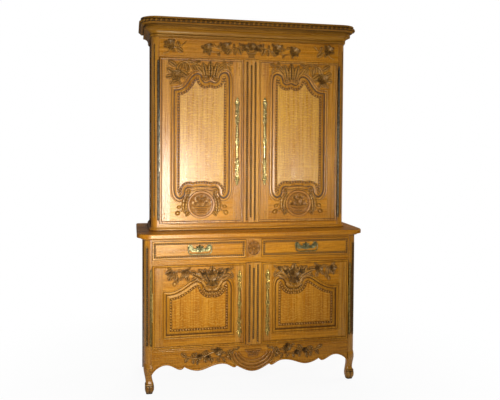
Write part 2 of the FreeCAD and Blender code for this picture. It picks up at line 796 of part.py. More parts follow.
def build_base(dowel_holes):
    tops = (base_door_top_rail, base_top_curves, base_field_tops)
    bottoms = (base_door_bottom_rail, base_bottom_curves, base_field_bottoms)
    pieces, hinge_half, post_recess = door(base_open, base_front, sill_level, door_head_level,
                                           tops, bottoms, base_plate_length)
    save_doors("base", pieces)
    rails, panels, side_cutters = side_frame(base_half, base_front, side_bottom_level, table_under, None)
    top_rail, top_tenons = rail_with_tenons(base_open, base_front, top_rail_depth, drawer_head_level,
                                            table_under, 0.0)
    drawer_rail, rail_tenons = rail_with_tenons(base_open, base_front, drawer_rail_depth, door_head_level,
                                                drawer_floor_level, short_tenon)
    apron_board, apron_tenons = apron()
    centre, centre_ends = upright_with_tenons(base_front - centre_proud, frame_thickness + centre_proud,
                                              sill_level, door_head_level, tenon_length, tenon_length)
    divider, divider_ends = upright_with_tenons(base_front, drawer_rail_depth, drawer_floor_level,
                                                drawer_head_level, short_tenon, short_tenon)
    left_post = front_post(base_half, base_front, foot_top_level, table_under).fuse(foot()).removeSplitter()
    groove = corner_flute(base_half, base_front, sill_level + post_flute_margin,
                          table_under - post_flute_margin)
    cutters = side_cutters + post_recess + [groove, top_tenons[0], rail_tenons[0], apron_tenons[0]]
    front_posts = cut_posts(pair(left_post), cutters)
    rear = block(-base_half, -base_half + rear_post, back_y - rear_post, back_y, 0, table_under)
    rear_posts = cut_posts(pair(rear), side_cutters)

    save("base_front_posts", front_posts)
    save("base_rear_posts", rear_posts)
    save("base_side_rails", [piece for rail in rails for piece in pair(rail)])
    save("base_side_panels", [piece for panel in panels for piece in pair(panel)])
    save("base_back_boards", back_boards(base_half, side_bottom_level, table_under))
    whole_posts = pair(front_post(base_half, base_front, 0, table_under)) + pair(rear)
    save("base_floor", [floor_board(base_half, base_front, sill_level, whole_posts)])
    save("base_apron", [apron_board.cut(centre_ends)])
    save("base_drawer_rail", [drawer_rail.cut(centre_ends + divider_ends)])
    save("base_top_rail", [top_rail.cut(divider_ends)])
    save("base_drawer_divider", [divider])
    save("base_centre_post", [fluted(centre, base_front - centre_proud, sill_level, door_head_level)])
    save("drawer_runners", runners(base_front))
    save("base_top", [table_top().cut(dowel_holes)])
    face, box = drawer(base_front)
    studs, bail = pull(base_front)
    for kind, solids in (("front", [face]), ("box", box), ("pull_studs", studs), ("pull_bail", [bail])):
        save("drawer_left_%s" % kind, solids)
        save("drawer_right_%s" % kind, [mirrored(solid) for solid in solids])
    return hinge_half


def fluted(post, front, z0, z1):
    # Three flutes, the middle one shorter.
    margins = ((-1, flute_margin), (0, flute_middle_margin), (1, flute_margin))
    return post.cut([flute(n * flute_spacing, front, z0 + m, z1 - m) for n, m in margins])


def build_upper(dowel_holes):
    tops = (upper_door_top_rail, upper_top_curves, upper_field_tops)
    bottoms = (upper_door_bottom_rail, upper_bottom_curves, upper_field_bottoms)
    pieces, hinge_half, post_recess = door(upper_open, upper_front, upper_sill_level, upper_head_level,
                                           tops, bottoms, upper_plate_length)
    save_doors("upper", pieces)
    rails, panels, side_cutters = side_frame(upper_half, upper_front, table_height, cornice_level,
                                             table_height + middle_rail_rise)
    bottom_rail, bottom_tenons = rail_with_tenons(upper_open, upper_front, frame_thickness, table_height,
                                                  upper_sill_level, tenon_shoulder)
    frieze, frieze_tenons = rail_with_tenons(upper_open, upper_front, frame_thickness, upper_head_level,
                                             cornice_level, tenon_shoulder)
    proud_front = upper_front - centre_proud
    centre, centre_ends = upright_with_tenons(proud_front, frame_thickness + centre_proud, upper_sill_level,
                                              upper_head_level, tenon_length, tenon_length)
    groove = corner_flute(upper_half, upper_front, upper_sill_level + post_flute_margin,
                          cornice_level - post_flute_margin)
    left_post = front_post(upper_half, upper_front, table_height, cornice_level)
    cutters = side_cutters + post_recess + [groove, bottom_tenons[0], frieze_tenons[0]]
    front_posts = [post.cut(dowel_holes) for post in cut_posts(pair(left_post), cutters)]
    rear = block(-upper_half, -upper_half + rear_post, back_y - rear_post, back_y,
                 table_height, cornice_level)
    rear_posts = [post.cut(dowel_holes) for post in cut_posts(pair(rear), side_cutters)]
    whole_posts = pair(left_post) + pair(rear)

    save("upper_front_posts", front_posts)
    save("upper_rear_posts", rear_posts)
    save("upper_side_rails", [piece for rail in rails for piece in pair(rail)])
    save("upper_side_panels", [piece for panel in panels for piece in pair(panel)])
    save("upper_back_boards", back_boards(upper_half, table_height, cornice_level))
    save("upper_floor", [floor_board(upper_half, upper_front, upper_sill_level, whole_posts)])
    save("upper_ceiling", [floor_board(upper_half, upper_front, cornice_level, whole_posts)])
    save("upper_frieze", [frieze.cut(centre_ends)])
    save("upper_bottom_rail", [bottom_rail.cut(centre_ends)])
    save("upper_centre_post", [fluted(centre, proud_front, upper_sill_level, upper_head_level)])
    save("cornice", cornice())
    return hinge_half


def build_shelves():
    boards = []
    cleats = []
    places = [(base_half, base_front, sill_level + base_shelf_rise)]
    for rise in (lower_shelf_rise, higher_shelf_rise):
        places.append((upper_half, upper_front, upper_sill_level + rise))
    for half_width, front, level in places:
        board, bearers = shelf(half_width, front, level)
        boards.append(board)
        cleats.extend(bearers)
    save("shelves", boards)
    save("shelf_cleats", cleats)


os.makedirs("parts", exist_ok=True)
pegs, peg_holes = dowels()
base_hinge = build_base(peg_holes)
upper_hinge = build_upper(peg_holes)
build_shelves()
save("locating_dowels", pegs)
save("hinge_pins", pair(base_hinge) + pair(upper_hinge))
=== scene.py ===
import math

import bmesh
import bpy
import numpy as np
from mathutils import Matrix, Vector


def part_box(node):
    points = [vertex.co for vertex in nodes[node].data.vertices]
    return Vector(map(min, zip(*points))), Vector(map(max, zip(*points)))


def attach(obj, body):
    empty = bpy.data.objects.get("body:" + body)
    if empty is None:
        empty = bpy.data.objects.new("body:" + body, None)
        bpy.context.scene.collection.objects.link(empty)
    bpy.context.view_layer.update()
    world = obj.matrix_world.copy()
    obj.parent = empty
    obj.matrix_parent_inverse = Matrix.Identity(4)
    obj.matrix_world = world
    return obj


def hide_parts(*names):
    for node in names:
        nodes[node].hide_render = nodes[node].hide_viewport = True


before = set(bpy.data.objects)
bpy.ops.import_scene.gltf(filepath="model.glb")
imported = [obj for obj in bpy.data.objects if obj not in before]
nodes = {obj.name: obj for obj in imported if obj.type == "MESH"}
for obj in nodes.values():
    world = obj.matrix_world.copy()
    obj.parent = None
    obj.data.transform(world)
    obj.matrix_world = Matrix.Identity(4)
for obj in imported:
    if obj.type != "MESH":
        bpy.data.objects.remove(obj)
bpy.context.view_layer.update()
print("frame loaded with", len(nodes), "nodes")


# Lengths are in millimetres and become metres when a piece is made.
def boxOf(node):
    low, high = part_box(node)
    return np.array(low) * 1000, np.array(high) * 1000


# Each input of a shader node takes a plain value or another node's output.
def addNode(tree, kind, inputs=None, **settings):
    made = tree.nodes.new(kind)
    for key, value in settings.items():
        setattr(made, key, value)
    for key, value in (inputs or {}).items():
        if isinstance(value, bpy.types.NodeSocket):
            tree.links.new(value, made.inputs[key])
        else:
            made.inputs[key].default_value = value
    return made


def compute(tree, operation, first, second=0.0, clamp=False):
    made = addNode(tree, "ShaderNodeMath", {0: first, 1: second}, operation=operation, use_clamp=clamp)
    return made.outputs[0]


def times(tree, first, second):
    return compute(tree, "MULTIPLY", first, second)


def remap(tree, source, low, high, start=0.0, end=1.0):
    spans = {"Value": source, "From Min": low, "From Max": high, "To Min": start, "To Max": end}
    return addNode(tree, "ShaderNodeMapRange", spans, interpolation_type="SMOOTHSTEP").outputs["Result"]


def blend(tree, factor, first, second):
    return addNode(tree, "ShaderNodeMix", {0: factor, 6: first, 7: second}, data_type="RGBA").outputs[2]


def noise(tree, place, stretch, detail, roughness=0.55, distortion=0.0):
    scaled = addNode(tree, "ShaderNodeVectorMath", {0: place, 1: stretch}, operation="MULTIPLY").outputs[0]
    values = {"Scale": 1.0, "Detail": detail, "Roughness": roughness, "Distortion": distortion}
    return addNode(tree, "ShaderNodeTexNoise", {"Vector": scaled, **values}).outputs["Fac"]


def objectPlace(tree):
    return addNode(tree, "ShaderNodeTexCoord").outputs["Object"]


def newGroup(name, takes, gives):
    tree = bpy.data.node_groups.new(name, "ShaderNodeTree")
    for label, kind, value in takes:
        socket = tree.interface.new_socket(label, in_out="INPUT", socket_type=kind)
        if value is not None:
            socket.default_value = value
    for label, kind in gives:
        tree.interface.new_socket(label, in_out="OUTPUT", socket_type=kind)
    return tree, tree.nodes.new("NodeGroupInput").outputs, tree.nodes.new("NodeGroupOutput").inputs


def useGroup(tree, group, inputs):
    return addNode(tree, "ShaderNodeGroup", inputs, node_tree=group).outputs


colour = "NodeSocketColor"
number = "NodeSocketFloat"
arrow = "NodeSocketVector"

# Oak with its grain along Z: broad figure, streaks, pores and the silvery ray fleck of quarter sawing.
# Each noise has a stretch, a detail, a roughness and a distortion. Spans say where a mask starts and ends.
grainLook = {
    "broad": ((9, 9, 0.7), 3, 0.5, 0.8),
    "streak": ((75, 75, 1.8), 4, 0.6, 0.4),
    "fine": ((420, 420, 7), 3),
    "pores": ((1100, 1100, 26), 1),
    "flake": ((42, 42, 90), 3, 0.55, 2.0),
    "ripple": {
        "Scale": 19.0, "Distortion": 11.0, "Detail": 2.0, "Detail Scale": 1.1, "Detail Roughness": 0.55,
    },
    "poreSpan": (0.56, 0.72),
    "flakeSpan": (0.38, 0.58),
    "rippleSpan": (0.35, 0.85),
    "figureSpan": (0.36, 0.62),
    "lineSpan": (0.43, 0.68),
    "roughSpan": (0.3, 0.7, 0.24, 0.36),
    "broadShare": 0.55,
    "streakShare": 0.45,
    "lineDepth": 0.55,
    "poreDepth": 0.65,
    "silver": (0.80, 0.55, 0.14, 1),
    "silverShare": 0.5,
    "flakeGloss": 0.1,
    "fineRelief": 0.5,
}


def makeGrainGroup():
    tree, enter, leave = newGroup(
        "oakGrain",
        [
            ("Place", arrow, None),
            ("Light", colour, (0.5, 0.25, 0.08, 1)),
            ("Middle", colour, (0.4, 0.18, 0.05, 1)),
            ("Dark", colour, (0.2, 0.08, 0.02, 1)),
            ("Fleck", number, 0.0),
        ],
        [("Color", colour), ("Roughness", number), ("Height", number)],
    )
    look = grainLook
    place = enter["Place"]
    noises = [noise(tree, place, *look[key]) for key in ("broad", "streak", "fine", "pores", "flake")]
    broad, streak, fine, pores, flake = noises
    pores = remap(tree, pores, *look["poreSpan"])
    waves = {"wave_type": "BANDS", "bands_direction": "Z"}
    ripple = addNode(tree, "ShaderNodeTexWave", {"Vector": place, **look["ripple"]}, **waves).outputs["Fac"]
    flake = times(tree, remap(tree, flake, *look["flakeSpan"]), remap(tree, ripple, *look["rippleSpan"]))
    flake = times(tree, flake, enter["Fleck"])
    shares = [times(tree, broad, look["broadShare"]), times(tree, streak, look["streakShare"])]
    figure = compute(tree, "ADD", *shares)
    tone = blend(tree, remap(tree, figure, *look["figureSpan"]), enter["Middle"], enter["Light"])
    lines = times(tree, remap(tree, fine, *look["lineSpan"]), look["lineDepth"])
    tone = blend(tree, lines, tone, enter["Dark"])
    tone = blend(tree, times(tree, pores, look["poreDepth"]), tone, enter["Dark"])
    silver = blend(tree, look["silverShare"], enter["Light"], look["silver"])
    tree.links.new(blend(tree, flake, tone, silver), leave["Color"])
    rough = remap(tree, streak, *look["roughSpan"])
    rough = compute(tree, "SUBTRACT", rough, times(tree, flake, look["flakeGloss"]))
    tree.links.new(rough, leave["Roughness"])
    tree.links.new(compute(tree, "SUBTRACT", times(tree, fine, look["fineRelief"]), pores), leave["Height"])
    return tree


# Old stain and wax in hollows, together with painted shade: darker near contacts where ambient occlusion
# finds shade, and where a carving marks itself as low.
stainAndShadeLook = {"samples": 6, "contactSpan": (0.88, 0.35), "markSpan": (0.25, 0.95)}


def makeStainAndShadeGroup():
    tree, enter, leave = newGroup(
        "hollowStain",
        [
            ("Color", colour, (0.5, 0.5, 0.5, 1)),
            ("Stain", colour, (0.05, 0.02, 0.01, 1)),
            ("Reach", number, 0.017),
            ("Contact", number, 0.95),
            ("Marked", number, 0.85),
        ],
        [("Color", colour), ("Mask", number)],
    )
    reach = {"Distance": enter["Reach"]}
    shade = addNode(tree, "ShaderNodeAmbientOcclusion", reach, samples=stainAndShadeLook["samples"]).outputs["AO"]
    near = times(tree, remap(tree, shade, *stainAndShadeLook["contactSpan"]), enter["Contact"])
    marked = addNode(tree, "ShaderNodeAttribute", attribute_name="stain").outputs["Fac"]
    marked = times(tree, remap(tree, marked, *stainAndShadeLook["markSpan"]), enter["Marked"])
    mask = compute(tree, "MAXIMUM", near, marked, True)
    tree.links.new(blend(tree, mask, enter["Color"], enter["Stain"]), leave["Color"])
    tree.links.new(mask, leave["Mask"])
    return tree


# Rubbed edges, paler than the faces beside them.
wearLook = {
    "samples": 4, "edgeSpan": (0.995, 0.8), "breaks": ((60, 60, 60), 3), "breakSpan": (0.35, 0.6),
}


def makeWearGroup():
    tree, enter, leave = newGroup(
        "edgeWear", [("Width", number, 0.0015), ("Amount", number, 0.5)], [("Mask", number)]
    )
    width = {"Radius": enter["Width"]}
    soft = addNode(tree, "ShaderNodeBevel", width, samples=wearLook["samples"]).outputs[0]
    true = addNode(tree, "ShaderNodeNewGeometry").outputs["Normal"]
    match = addNode(tree, "ShaderNodeVectorMath", {0: soft, 1: true}, operation="DOT_PRODUCT")
    broken = remap(tree, noise(tree, objectPlace(tree), *wearLook["breaks"]), *wearLook["breakSpan"])
    edge = times(tree, remap(tree, match.outputs["Value"], *wearLook["edgeSpan"]), broken)
    tree.links.new(times(tree, edge, enter["Amount"]), leave["Mask"])
    return tree


grainGroup = makeGrainGroup()
stainAndShadeGroup = makeStainAndShadeGroup()
wearGroup = makeWearGroup()

paleShine = (1.0, 0.97, 0.92, 1)
warmShine = (1.0, 0.90, 0.60, 1)
# Each tone's stain colour darkens hollows and contacts: old stain and wax, and painted shade.
oakTones = {
    "frame": {
        "light": (0.56, 0.242, 0.018, 1), "middle": (0.34, 0.124, 0.006, 1), "dark": (0.12, 0.034, 0.003, 1),
        "stain": (0.034, 0.012, 0.003, 1), "fleck": 0.2, "marked": 0.88, "shine": 0.6, "tint": paleShine,
    },
    "rail": {
        "light": (0.56, 0.220, 0.008, 1), "middle": (0.34, 0.112, 0.003, 1), "dark": (0.12, 0.034, 0.002, 1),
        "stain": (0.034, 0.012, 0.003, 1), "fleck": 0.2, "marked": 0.88, "shine": 0.52, "tint": warmShine,
    },
    "panel": {
        "light": (0.57, 0.282, 0.030, 1), "middle": (0.44, 0.182, 0.014, 1), "dark": (0.20, 0.064, 0.006, 1),
        "stain": (0.034, 0.012, 0.003, 1), "fleck": 0.7, "marked": 0.85, "shine": 0.7, "tint": paleShine,
    },
    "deepPanel": {
        "light": (0.53, 0.214, 0.012, 1), "middle": (0.39, 0.132, 0.005, 1), "dark": (0.17, 0.050, 0.004, 1),
        "stain": (0.034, 0.012, 0.003, 1), "fleck": 0.45, "marked": 0.85, "shine": 0.36, "tint": warmShine,
    },
    "carved": {
        "light": (0.50, 0.225, 0.026, 1), "middle": (0.25, 0.094, 0.008, 1), "dark": (0.10, 0.034, 0.005, 1),
        "stain": (0.014, 0.005, 0.0012, 1), "fleck": 0.0, "marked": 0.92, "shine": 0.8, "tint": warmShine,
    },
    "relief": {
        "light": (0.48, 0.210, 0.034, 1), "middle": (0.34, 0.132, 0.016, 1), "dark": (0.17, 0.056, 0.006, 1),
        "stain": (0.060, 0.022, 0.005, 1), "fleck": 0.0, "marked": 0.9, "shine": 0.36, "tint": paleShine,
    },
    # The cornice tone is a darker copy of the frame oak: painted shade for the cornice, which faces down.
    "cornice": {
        "light": (0.40, 0.178, 0.014, 1), "middle": (0.23, 0.090, 0.005, 1), "dark": (0.080, 0.026, 0.002, 1),
        "stain": (0.022, 0.009, 0.003, 1), "fleck": 0.0, "marked": 0.92, "shine": 0.42, "tint": warmShine,
    },
    "quiet": {
        "light": (0.54, 0.232, 0.017, 1), "middle": (0.34, 0.124, 0.006, 1), "dark": (0.12, 0.034, 0.003, 1),
        "stain": (0.072, 0.025, 0.004, 1), "fleck": 0.1, "marked": 0.88, "shine": 0.2, "tint": warmShine,
    },
    "inside": {
        "light": (0.52, 0.33, 0.155, 1), "middle": (0.40, 0.235, 0.10, 1), "dark": (0.22, 0.11, 0.04, 1),
        "stain": (0.10, 0.05, 0.02, 1), "fleck": 0.1, "marked": 0.5, "shine": 0.2, "tint": warmShine,
    },
}
oakWear = {"amount": 0.35, "rubbed": (0.82, 0.5, 0.2, 1), "stainDullness": 0.4, "bump": (0.25, 0.0005)}
grainOrder = {"X": "ZYX", "Y": "XZY", "Z": "XYZ"}


def newMaterial(name):
    material = bpy.data.materials.new(name)
    material.use_nodes = True
    tree = material.node_tree
    return material, tree, tree.nodes["Principled BSDF"]


def addBump(tree, skin, height, strength, distance):
    bump = addNode(tree, "ShaderNodeBump", {"Height": height, "Strength": strength, "Distance": distance})
    tree.links.new(bump.outputs["Normal"], skin.inputs["Normal"])


# The grain runs along X, Y or Z. Panels are book matched about the buffet's middle.
def oak(name, tones, along, matched=False):
    values = oakTones[tones]
    material, tree, skin = newMaterial(name)
    axes = dict(zip("XYZ", addNode(tree, "ShaderNodeSeparateXYZ", {0: objectPlace(tree)}).outputs))
    if matched:
        axes["X"] = compute(tree, "ABSOLUTE", axes["X"])
    turned = {place: axes[axis] for place, axis in enumerate(grainOrder[along])}
    shades = {key.capitalize(): values[key] for key in ("light", "middle", "dark", "fleck")}
    shades["Place"] = addNode(tree, "ShaderNodeCombineXYZ", turned).outputs[0]
    grain = useGroup(tree, grainGroup, shades)
    wear = useGroup(tree, wearGroup, {"Amount": oakWear["amount"]})
    rubbed = blend(tree, wear["Mask"], grain["Color"], oakWear["rubbed"])
    stain = {"Color": rubbed, "Stain": values["stain"], "Marked": values["marked"]}
    hollow = useGroup(tree, stainAndShadeGroup, stain)
    tree.links.new(hollow["Color"], skin.inputs["Base Color"])
    dulled = times(tree, hollow["Mask"], oakWear["stainDullness"])
    tree.links.new(compute(tree, "ADD", grain["Roughness"], dulled, True), skin.inputs["Roughness"])
    addBump(tree, skin, grain["Height"], *oakWear["bump"])
    skin.inputs["Specular IOR Level"].default_value = values["shine"]
    skin.inputs["Specular Tint"].default_value = values["tint"]
    return material


# Each metal's darkest colour goes into its crevices: real dirt, and painted shade.
metalTones = {
    "brass": {"clean": (0.82, 0.65, 0.28, 1), "dull": (0.42, 0.34, 0.12, 1), "dirt": (0.05, 0.045, 0.02, 1)},
    "pull": {"clean": (0.34, 0.30, 0.14, 1), "dull": (0.16, 0.15, 0.065, 1), "dirt": (0.04, 0.038, 0.02, 1)},
    # This more golden copy of the brass, for the base plates, is painted light for the reflections they lack.
    "gilt": {"clean": (0.86, 0.62, 0.18, 1), "dull": (0.46, 0.32, 0.08, 1), "dirt": (0.05, 0.04, 0.015, 1)},
    "dullGilt": {
        "clean": (0.44, 0.30, 0.09, 1), "dull": (0.22, 0.15, 0.045, 1), "dirt": (0.04, 0.03, 0.012, 1),
    },
    "hinge": {"clean": (0.22, 0.19, 0.13, 1), "dull": (0.09, 0.085, 0.065, 1), "dirt": (0.03, 0.03, 0.02, 1)},
    "iron": {"clean": (0.22, 0.20, 0.18, 1), "dull": (0.10, 0.075, 0.055, 1), "dirt": (0.03, 0.02, 0.015, 1)},
}
metalWear = {
    "cloud": ((90, 90, 60), 5, 0.6),
    "cloudSpan": (0.36, 0.62),
    "dirtReach": 0.005,
    "dirtMarked": 0.55,
    "grit": ((400, 400, 400), 3),
    "bump": (0.2, 0.0004),
}


def metal(name, tones, cleanRough, dullRough):
    values = metalTones[tones]
    material, tree, skin = newMaterial(name)
    place = objectPlace(tree)
    cloud = remap(tree, noise(tree, place, *metalWear["cloud"]), *metalWear["cloudSpan"])
    # Crevices darken with dirt and with painted shade from ambient occlusion.
    dirt = {"Stain": values["dirt"], "Reach": metalWear["dirtReach"], "Marked": metalWear["dirtMarked"]}
    dirt["Color"] = blend(tree, cloud, values["dull"], values["clean"])
    tree.links.new(useGroup(tree, stainAndShadeGroup, dirt)["Color"], skin.inputs["Base Color"])
    tree.links.new(remap(tree, cloud, 0.0, 1.0, dullRough, cleanRough), skin.inputs["Roughness"])
    addBump(tree, skin, noise(tree, place, *metalWear["grit"]), *metalWear["bump"])
    skin.inputs["Metallic"].default_value = 1.0
    return material


oakUpright = oak("oakUpright", "frame", "Z")
oakAcross = oak("oakAcross", "rail", "X")
oakDeep = oak("oakDeep", "frame", "Y")
oakQuiet = oak("oakQuiet", "quiet", "Z")
oakPanel = oak("oakPanel", "panel", "Z", True)
oakDeepPanel = oak("oakDeepPanel", "deepPanel", "Z", True)
oakCarved = oak("oakCarved", "carved", "X")
oakRelief = oak("oakRelief", "relief", "X")
# The cornice oak is darkened as painted shade.
oakCornice = oak("oakCornice", "cornice", "X")
insideUpright = oak("insideUpright", "inside", "Z")
insideAcross = oak("insideAcross", "inside", "X")
insideDeep = oak("insideDeep", "inside", "Y")
brass = metal("agedBrass", "brass", 0.26, 0.48)
pullBrass = metal("pullBrass", "pull", 0.42, 0.58)
gilt = metal("giltBrass", "gilt", 0.26, 0.48)
dullGilt = metal("dullGilt", "dullGilt", 0.42, 0.58)
hingeBrass = metal("hingeBrass", "hinge", 0.42, 0.6)
iron = metal("darkIron", "iron", 0.4, 0.6)
print("materials made")


# Shapes are kept as rings of points with a value of stain and painted shade each, 1 in the deepest hollows.
# sunk is how far a carving's foot lies under its ground, and domeSteps says how a dome narrows as it rises.
# Each plate step is an inset, a share of the thickness and a value of stain and painted shade.
sharpAngle = math.radians(42.0)
weldDistance = 0.00002
tiny = 0.001
sunk = 1.2
domeSteps = ((1.0, 0.08), (0.9, 0.45), (0.68, 0.75), (0.38, 0.94), (0.12, 1.0))
beadColumns = 8
plateFloor = -0.8
plateSteps = ((0.0, 0.5, 0.3), (1.0, 1.0, 0.0), (2.6, 0.8, 0.35))


def newShape():
    return {"points": [], "stains": [], "quads": [], "caps": [], "count": 0}


def faceAt(origin, right, out, up=(0, 0, 1)):
    vectors = {"origin": origin, "right": right, "up": up, "out": out}
    return {key: np.array(value, float) for key, value in vectors.items()}


def frontFace(level, side=1, u=0, v=0):
    return faceAt((u, level, v), (side, 0, 0), (0, -1, 0))


# A front face about the middle of a node, at the front of the node that it lies on.
def faceOver(node, ground):
    low, high = boxOf(node)
    return frontFace(boxOf(ground)[0][1], 1, (low[0] + high[0]) / 2, (low[2] + high[2]) / 2)


world = faceAt((0, 0, 0), (1, 0, 0), (0, 0, 1), (0, 1, 0))


def addLoft(shape, face, rings, stains=None, closed=False):
    rings = np.asarray(rings, float)
    rows, columns = rings.shape[:2]
    # Left out, the values follow the height: the lowest points get the most stain and painted shade.
    if stains is None:
        lift = rings[..., 2]
        stains = 1 - (lift - lift.min()) / max(lift.max() - lift.min(), tiny)
    stains = np.broadcast_to(stains, (rows, columns))
    placed = face["origin"]
    for place, axis in enumerate(("right", "up", "out")):
        placed = placed + rings[..., place, None] * face[axis]
    ids = shape["count"] + np.arange(rows * columns).reshape(rows, columns)
    beside = np.roll(ids, -1, axis=1)
    if closed:
        quads = np.stack([ids, beside, np.roll(beside, -1, axis=0), np.roll(ids, -1, axis=0)], -1)
    else:
        quads = np.stack([ids[:-1], beside[:-1], beside[1:], ids[1:]], -1)
        shape["caps"].append(ids[0][::-1].tolist())
        shape["caps"].append(ids[-1].tolist())
    shape["points"].append(placed.reshape(-1, 3))
    shape["stains"].append(stains.reshape(-1))
    shape["quads"].append(quads.reshape(-1, 4))
    shape["count"] += rows * columns


def makePiece(name, shape, material, body="carcass", stands=()):
    points = np.concatenate(shape["points"]) * 0.001
    faces = np.concatenate(shape["quads"]).tolist() + shape["caps"]
    mesh = bpy.data.meshes.new(name)
    mesh.from_pydata(points.tolist(), [], faces)
    mark = mesh.attributes.new("stain", "FLOAT", "POINT")
    mark.data.foreach_set("value", np.concatenate(shape["stains"]).astype(np.float32))
    work = bmesh.new()
    work.from_mesh(mesh)
    bmesh.ops.dissolve_degenerate(work, dist=weldDistance, edges=work.edges)
    bmesh.ops.recalc_face_normals(work, faces=work.faces)
    work.to_mesh(mesh)
    work.free()
    mesh.polygons.foreach_set("use_smooth", [True] * len(mesh.polygons))
    mesh.set_sharp_from_angle(angle=sharpAngle)
    mesh.materials.append(material)
    piece = bpy.data.objects.new(name, mesh)
    bpy.context.scene.collection.objects.link(piece)
    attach(piece, body)
    if stands:
        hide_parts(*stands)


def splinePath(points, step=5.0):
    points = np.array(points, float)
    parts = []
    for place in range(len(points) - 1):
        here, there = points[place], points[place + 1]
        before = points[place - 1] if place > 0 else 2 * here - there
        after = points[place + 2] if place + 2 < len(points) else 2 * there - here
        count = max(2, math.ceil(np.linalg.norm(there - here) / step))
        t = np.linspace(0, 1, count, endpoint=False)[:, None]
        bend = 2 * before - 5 * here + 4 * there - after
        twist = -before + 3 * here - 3 * there + after
        parts.append(0.5 * (2 * here + (there - before) * t + bend * t**2 + twist * t**3))
    parts.append(points[-1:])
    return np.concatenate(parts)


def rectangle(low, high):
    return np.array([(low[0], low[1]), (high[0], low[1]), (high[0], high[1]), (low[0], high[1])], float)


def fullTurn(count):
    return np.linspace(0, 2 * np.pi, count, endpoint=False)


def ovalLoop(count, wide, tall):
    turn = fullTurn(count)
    return np.column_stack([np.cos(turn) * wide, np.sin(turn) * tall])


def quarterTurn(rows):
    return np.stack([-rows[:, 1], rows[:, 0]], 1)


def raised(loop, height):
    return np.column_stack([loop, np.full(len(loop), height)])


# Moves an anticlockwise loop inwards. Where it would cross itself, the points close up between good ones.
insetLimits = {"share": 0.4, "nearness": 0.97, "slack": 0.2, "points": 4}


def insetLoop(outline, distance):
    edge = np.roll(outline, -1, axis=0) - outline
    edge = edge / np.linalg.norm(edge, axis=1)[:, None]
    normal = quarterTurn(edge)
    earlier = np.roll(normal, 1, axis=0)
    share = 1 + (normal * earlier).sum(axis=1)
    moved = outline + (normal + earlier) / np.maximum(share, insetLimits["share"])[:, None] * distance
    gaps = np.linalg.norm(moved[:, None, :] - outline[None, :, :], axis=2).min(axis=1)
    good = gaps > abs(distance) * insetLimits["nearness"] - insetLimits["slack"]
    if good.all() or good.sum() < insetLimits["points"]:
        return moved
    count = len(outline)
    kept = np.flatnonzero(good)
    ring = np.concatenate([[kept[-1] - count], kept, [kept[0] + count]])
    for axis in (0, 1):
        values = moved[kept, axis]
        values = np.concatenate([values[-1:], values, values[:1]])
        moved[:, axis] = np.interp(np.arange(count), ring, values)
    return moved


# Each profile row is an inset from the outline, a height above the face and a value of stain and painted
# shade.
def addMoulding(shape, face, outline, profile, firstFloor=-2.0, lastFloor=-2.0, shade=0.0):
    columns = []
    stains = []
    for inset, height, stain in profile:
        columns.append(raised(insetLoop(outline, inset), height))
        stains.append(stain)
    for column, floor in ((columns[-1], lastFloor), (columns[0], firstFloor)):
        under = column.copy()
        under[:, 2] = np.minimum(under[:, 2], floor)
        columns.append(under)
        stains.append(1.0)
    stains = np.maximum(np.array(stains)[None, :], np.reshape(shade, (-1, 1)))
    addLoft(shape, face, np.stack(columns, axis=1), stains, True)


def addDome(shape, face, u, v, a, b, height, angle=0.0, lift=0.0, columns=10):
    c, s = math.cos(math.radians(angle)), math.sin(math.radians(angle))
    across, along = ovalLoop(columns, a, b).T
    ring = np.stack([across * c - along * s, across * s + along * c], 1)
    levels = [(1.0, -sunk)] + [(size, share * height) for size, share in domeSteps]
    rows = [raised(ring * size + (u, v), rise + lift) for size, rise in levels]
    addLoft(shape, face, np.stack(rows))


# Rows of raised points, closed underneath.
def addRidge(shape, face, top, floor=-sunk, stains=None):
    foot = top[:, [-1, 0]].copy()
    foot[..., 2] = floor
    addLoft(shape, face, np.concatenate([top, foot], axis=1), stains)


# A rounded stem that thins towards both ends.
stemShape = {"columns": 7, "endSize": 0.45, "endGrowth": 14}


def addStem(shape, face, points, start, end, rise=1.3, lift=0.0, step=5.0):
    path = splinePath(points, step)
    ahead = np.gradient(path, axis=0)
    ahead = ahead / np.maximum(np.linalg.norm(ahead, axis=1), tiny)[:, None]
    side = quarterTurn(ahead)
    t = np.linspace(0, 1, len(path))
    ends = np.clip(np.minimum(t, 1 - t) * stemShape["endGrowth"] + stemShape["endSize"], 0, 1)
    radius = (start + (end - start) * t) * ends
    turn = np.linspace(np.pi, 0, stemShape["columns"])
    flat = path[:, None] + side[:, None] * (radius[:, None] * np.cos(turn))[..., None]
    height = radius[:, None] * np.sin(turn) * rise + lift
    addRidge(shape, face, np.concatenate([flat, height[..., None]], axis=2), min(0.0, lift) - sunk)


# The middle line of a leaf. A bend turns it about one place along its length.
straightPlace = 0.3


def leafLine(u, v, angle, bend, length, t):
    heading = np.radians(angle + bend * (t - straightPlace))
    ahead = np.stack([np.cos(heading), np.sin(heading)], 1)
    walk = np.cumsum(ahead[:-1], axis=0) * (length / (len(t) - 1))
    middle = np.concatenate([np.zeros((1, 2)), walk]) + (u, v)
    return middle, ahead, quarterTurn(ahead)


def addBlade(shape, face, line, half, across, rise, sweep):
    middle, ahead, side = [row[:, None] for row in line]
    spread = (half[:, None] * across)[..., None]
    flat = middle + spread * side + np.abs(spread) * sweep * ahead
    addRidge(shape, face, np.concatenate([flat, rise[..., None]], axis=2))


# A lobed leaf with a midrib and forward veins. Its crest is a share of the height at each place across.
leafShape = {
    "lobeRows": 7,
    "endRows": 3,
    "ends": (0.012, 0.988),
    "belly": 0.8,
    "roundness": 0.58,
    "leastHalf": 0.5,
    "across": (-1, -0.8, -0.5, -0.22, -0.08, 0, 0.08, 0.22, 0.5, 0.8, 1),
    "crest": (0.25, 0.75, 1.0, 0.78, 0.42, 0.7, 0.42, 0.78, 1.0, 0.75, 0.25),
    "endHeight": 0.4,
    "swell": 0.6,
    "veinDepth": 0.4,
    "veinSlant": 0.14,
    "sweep": 0.35,
}


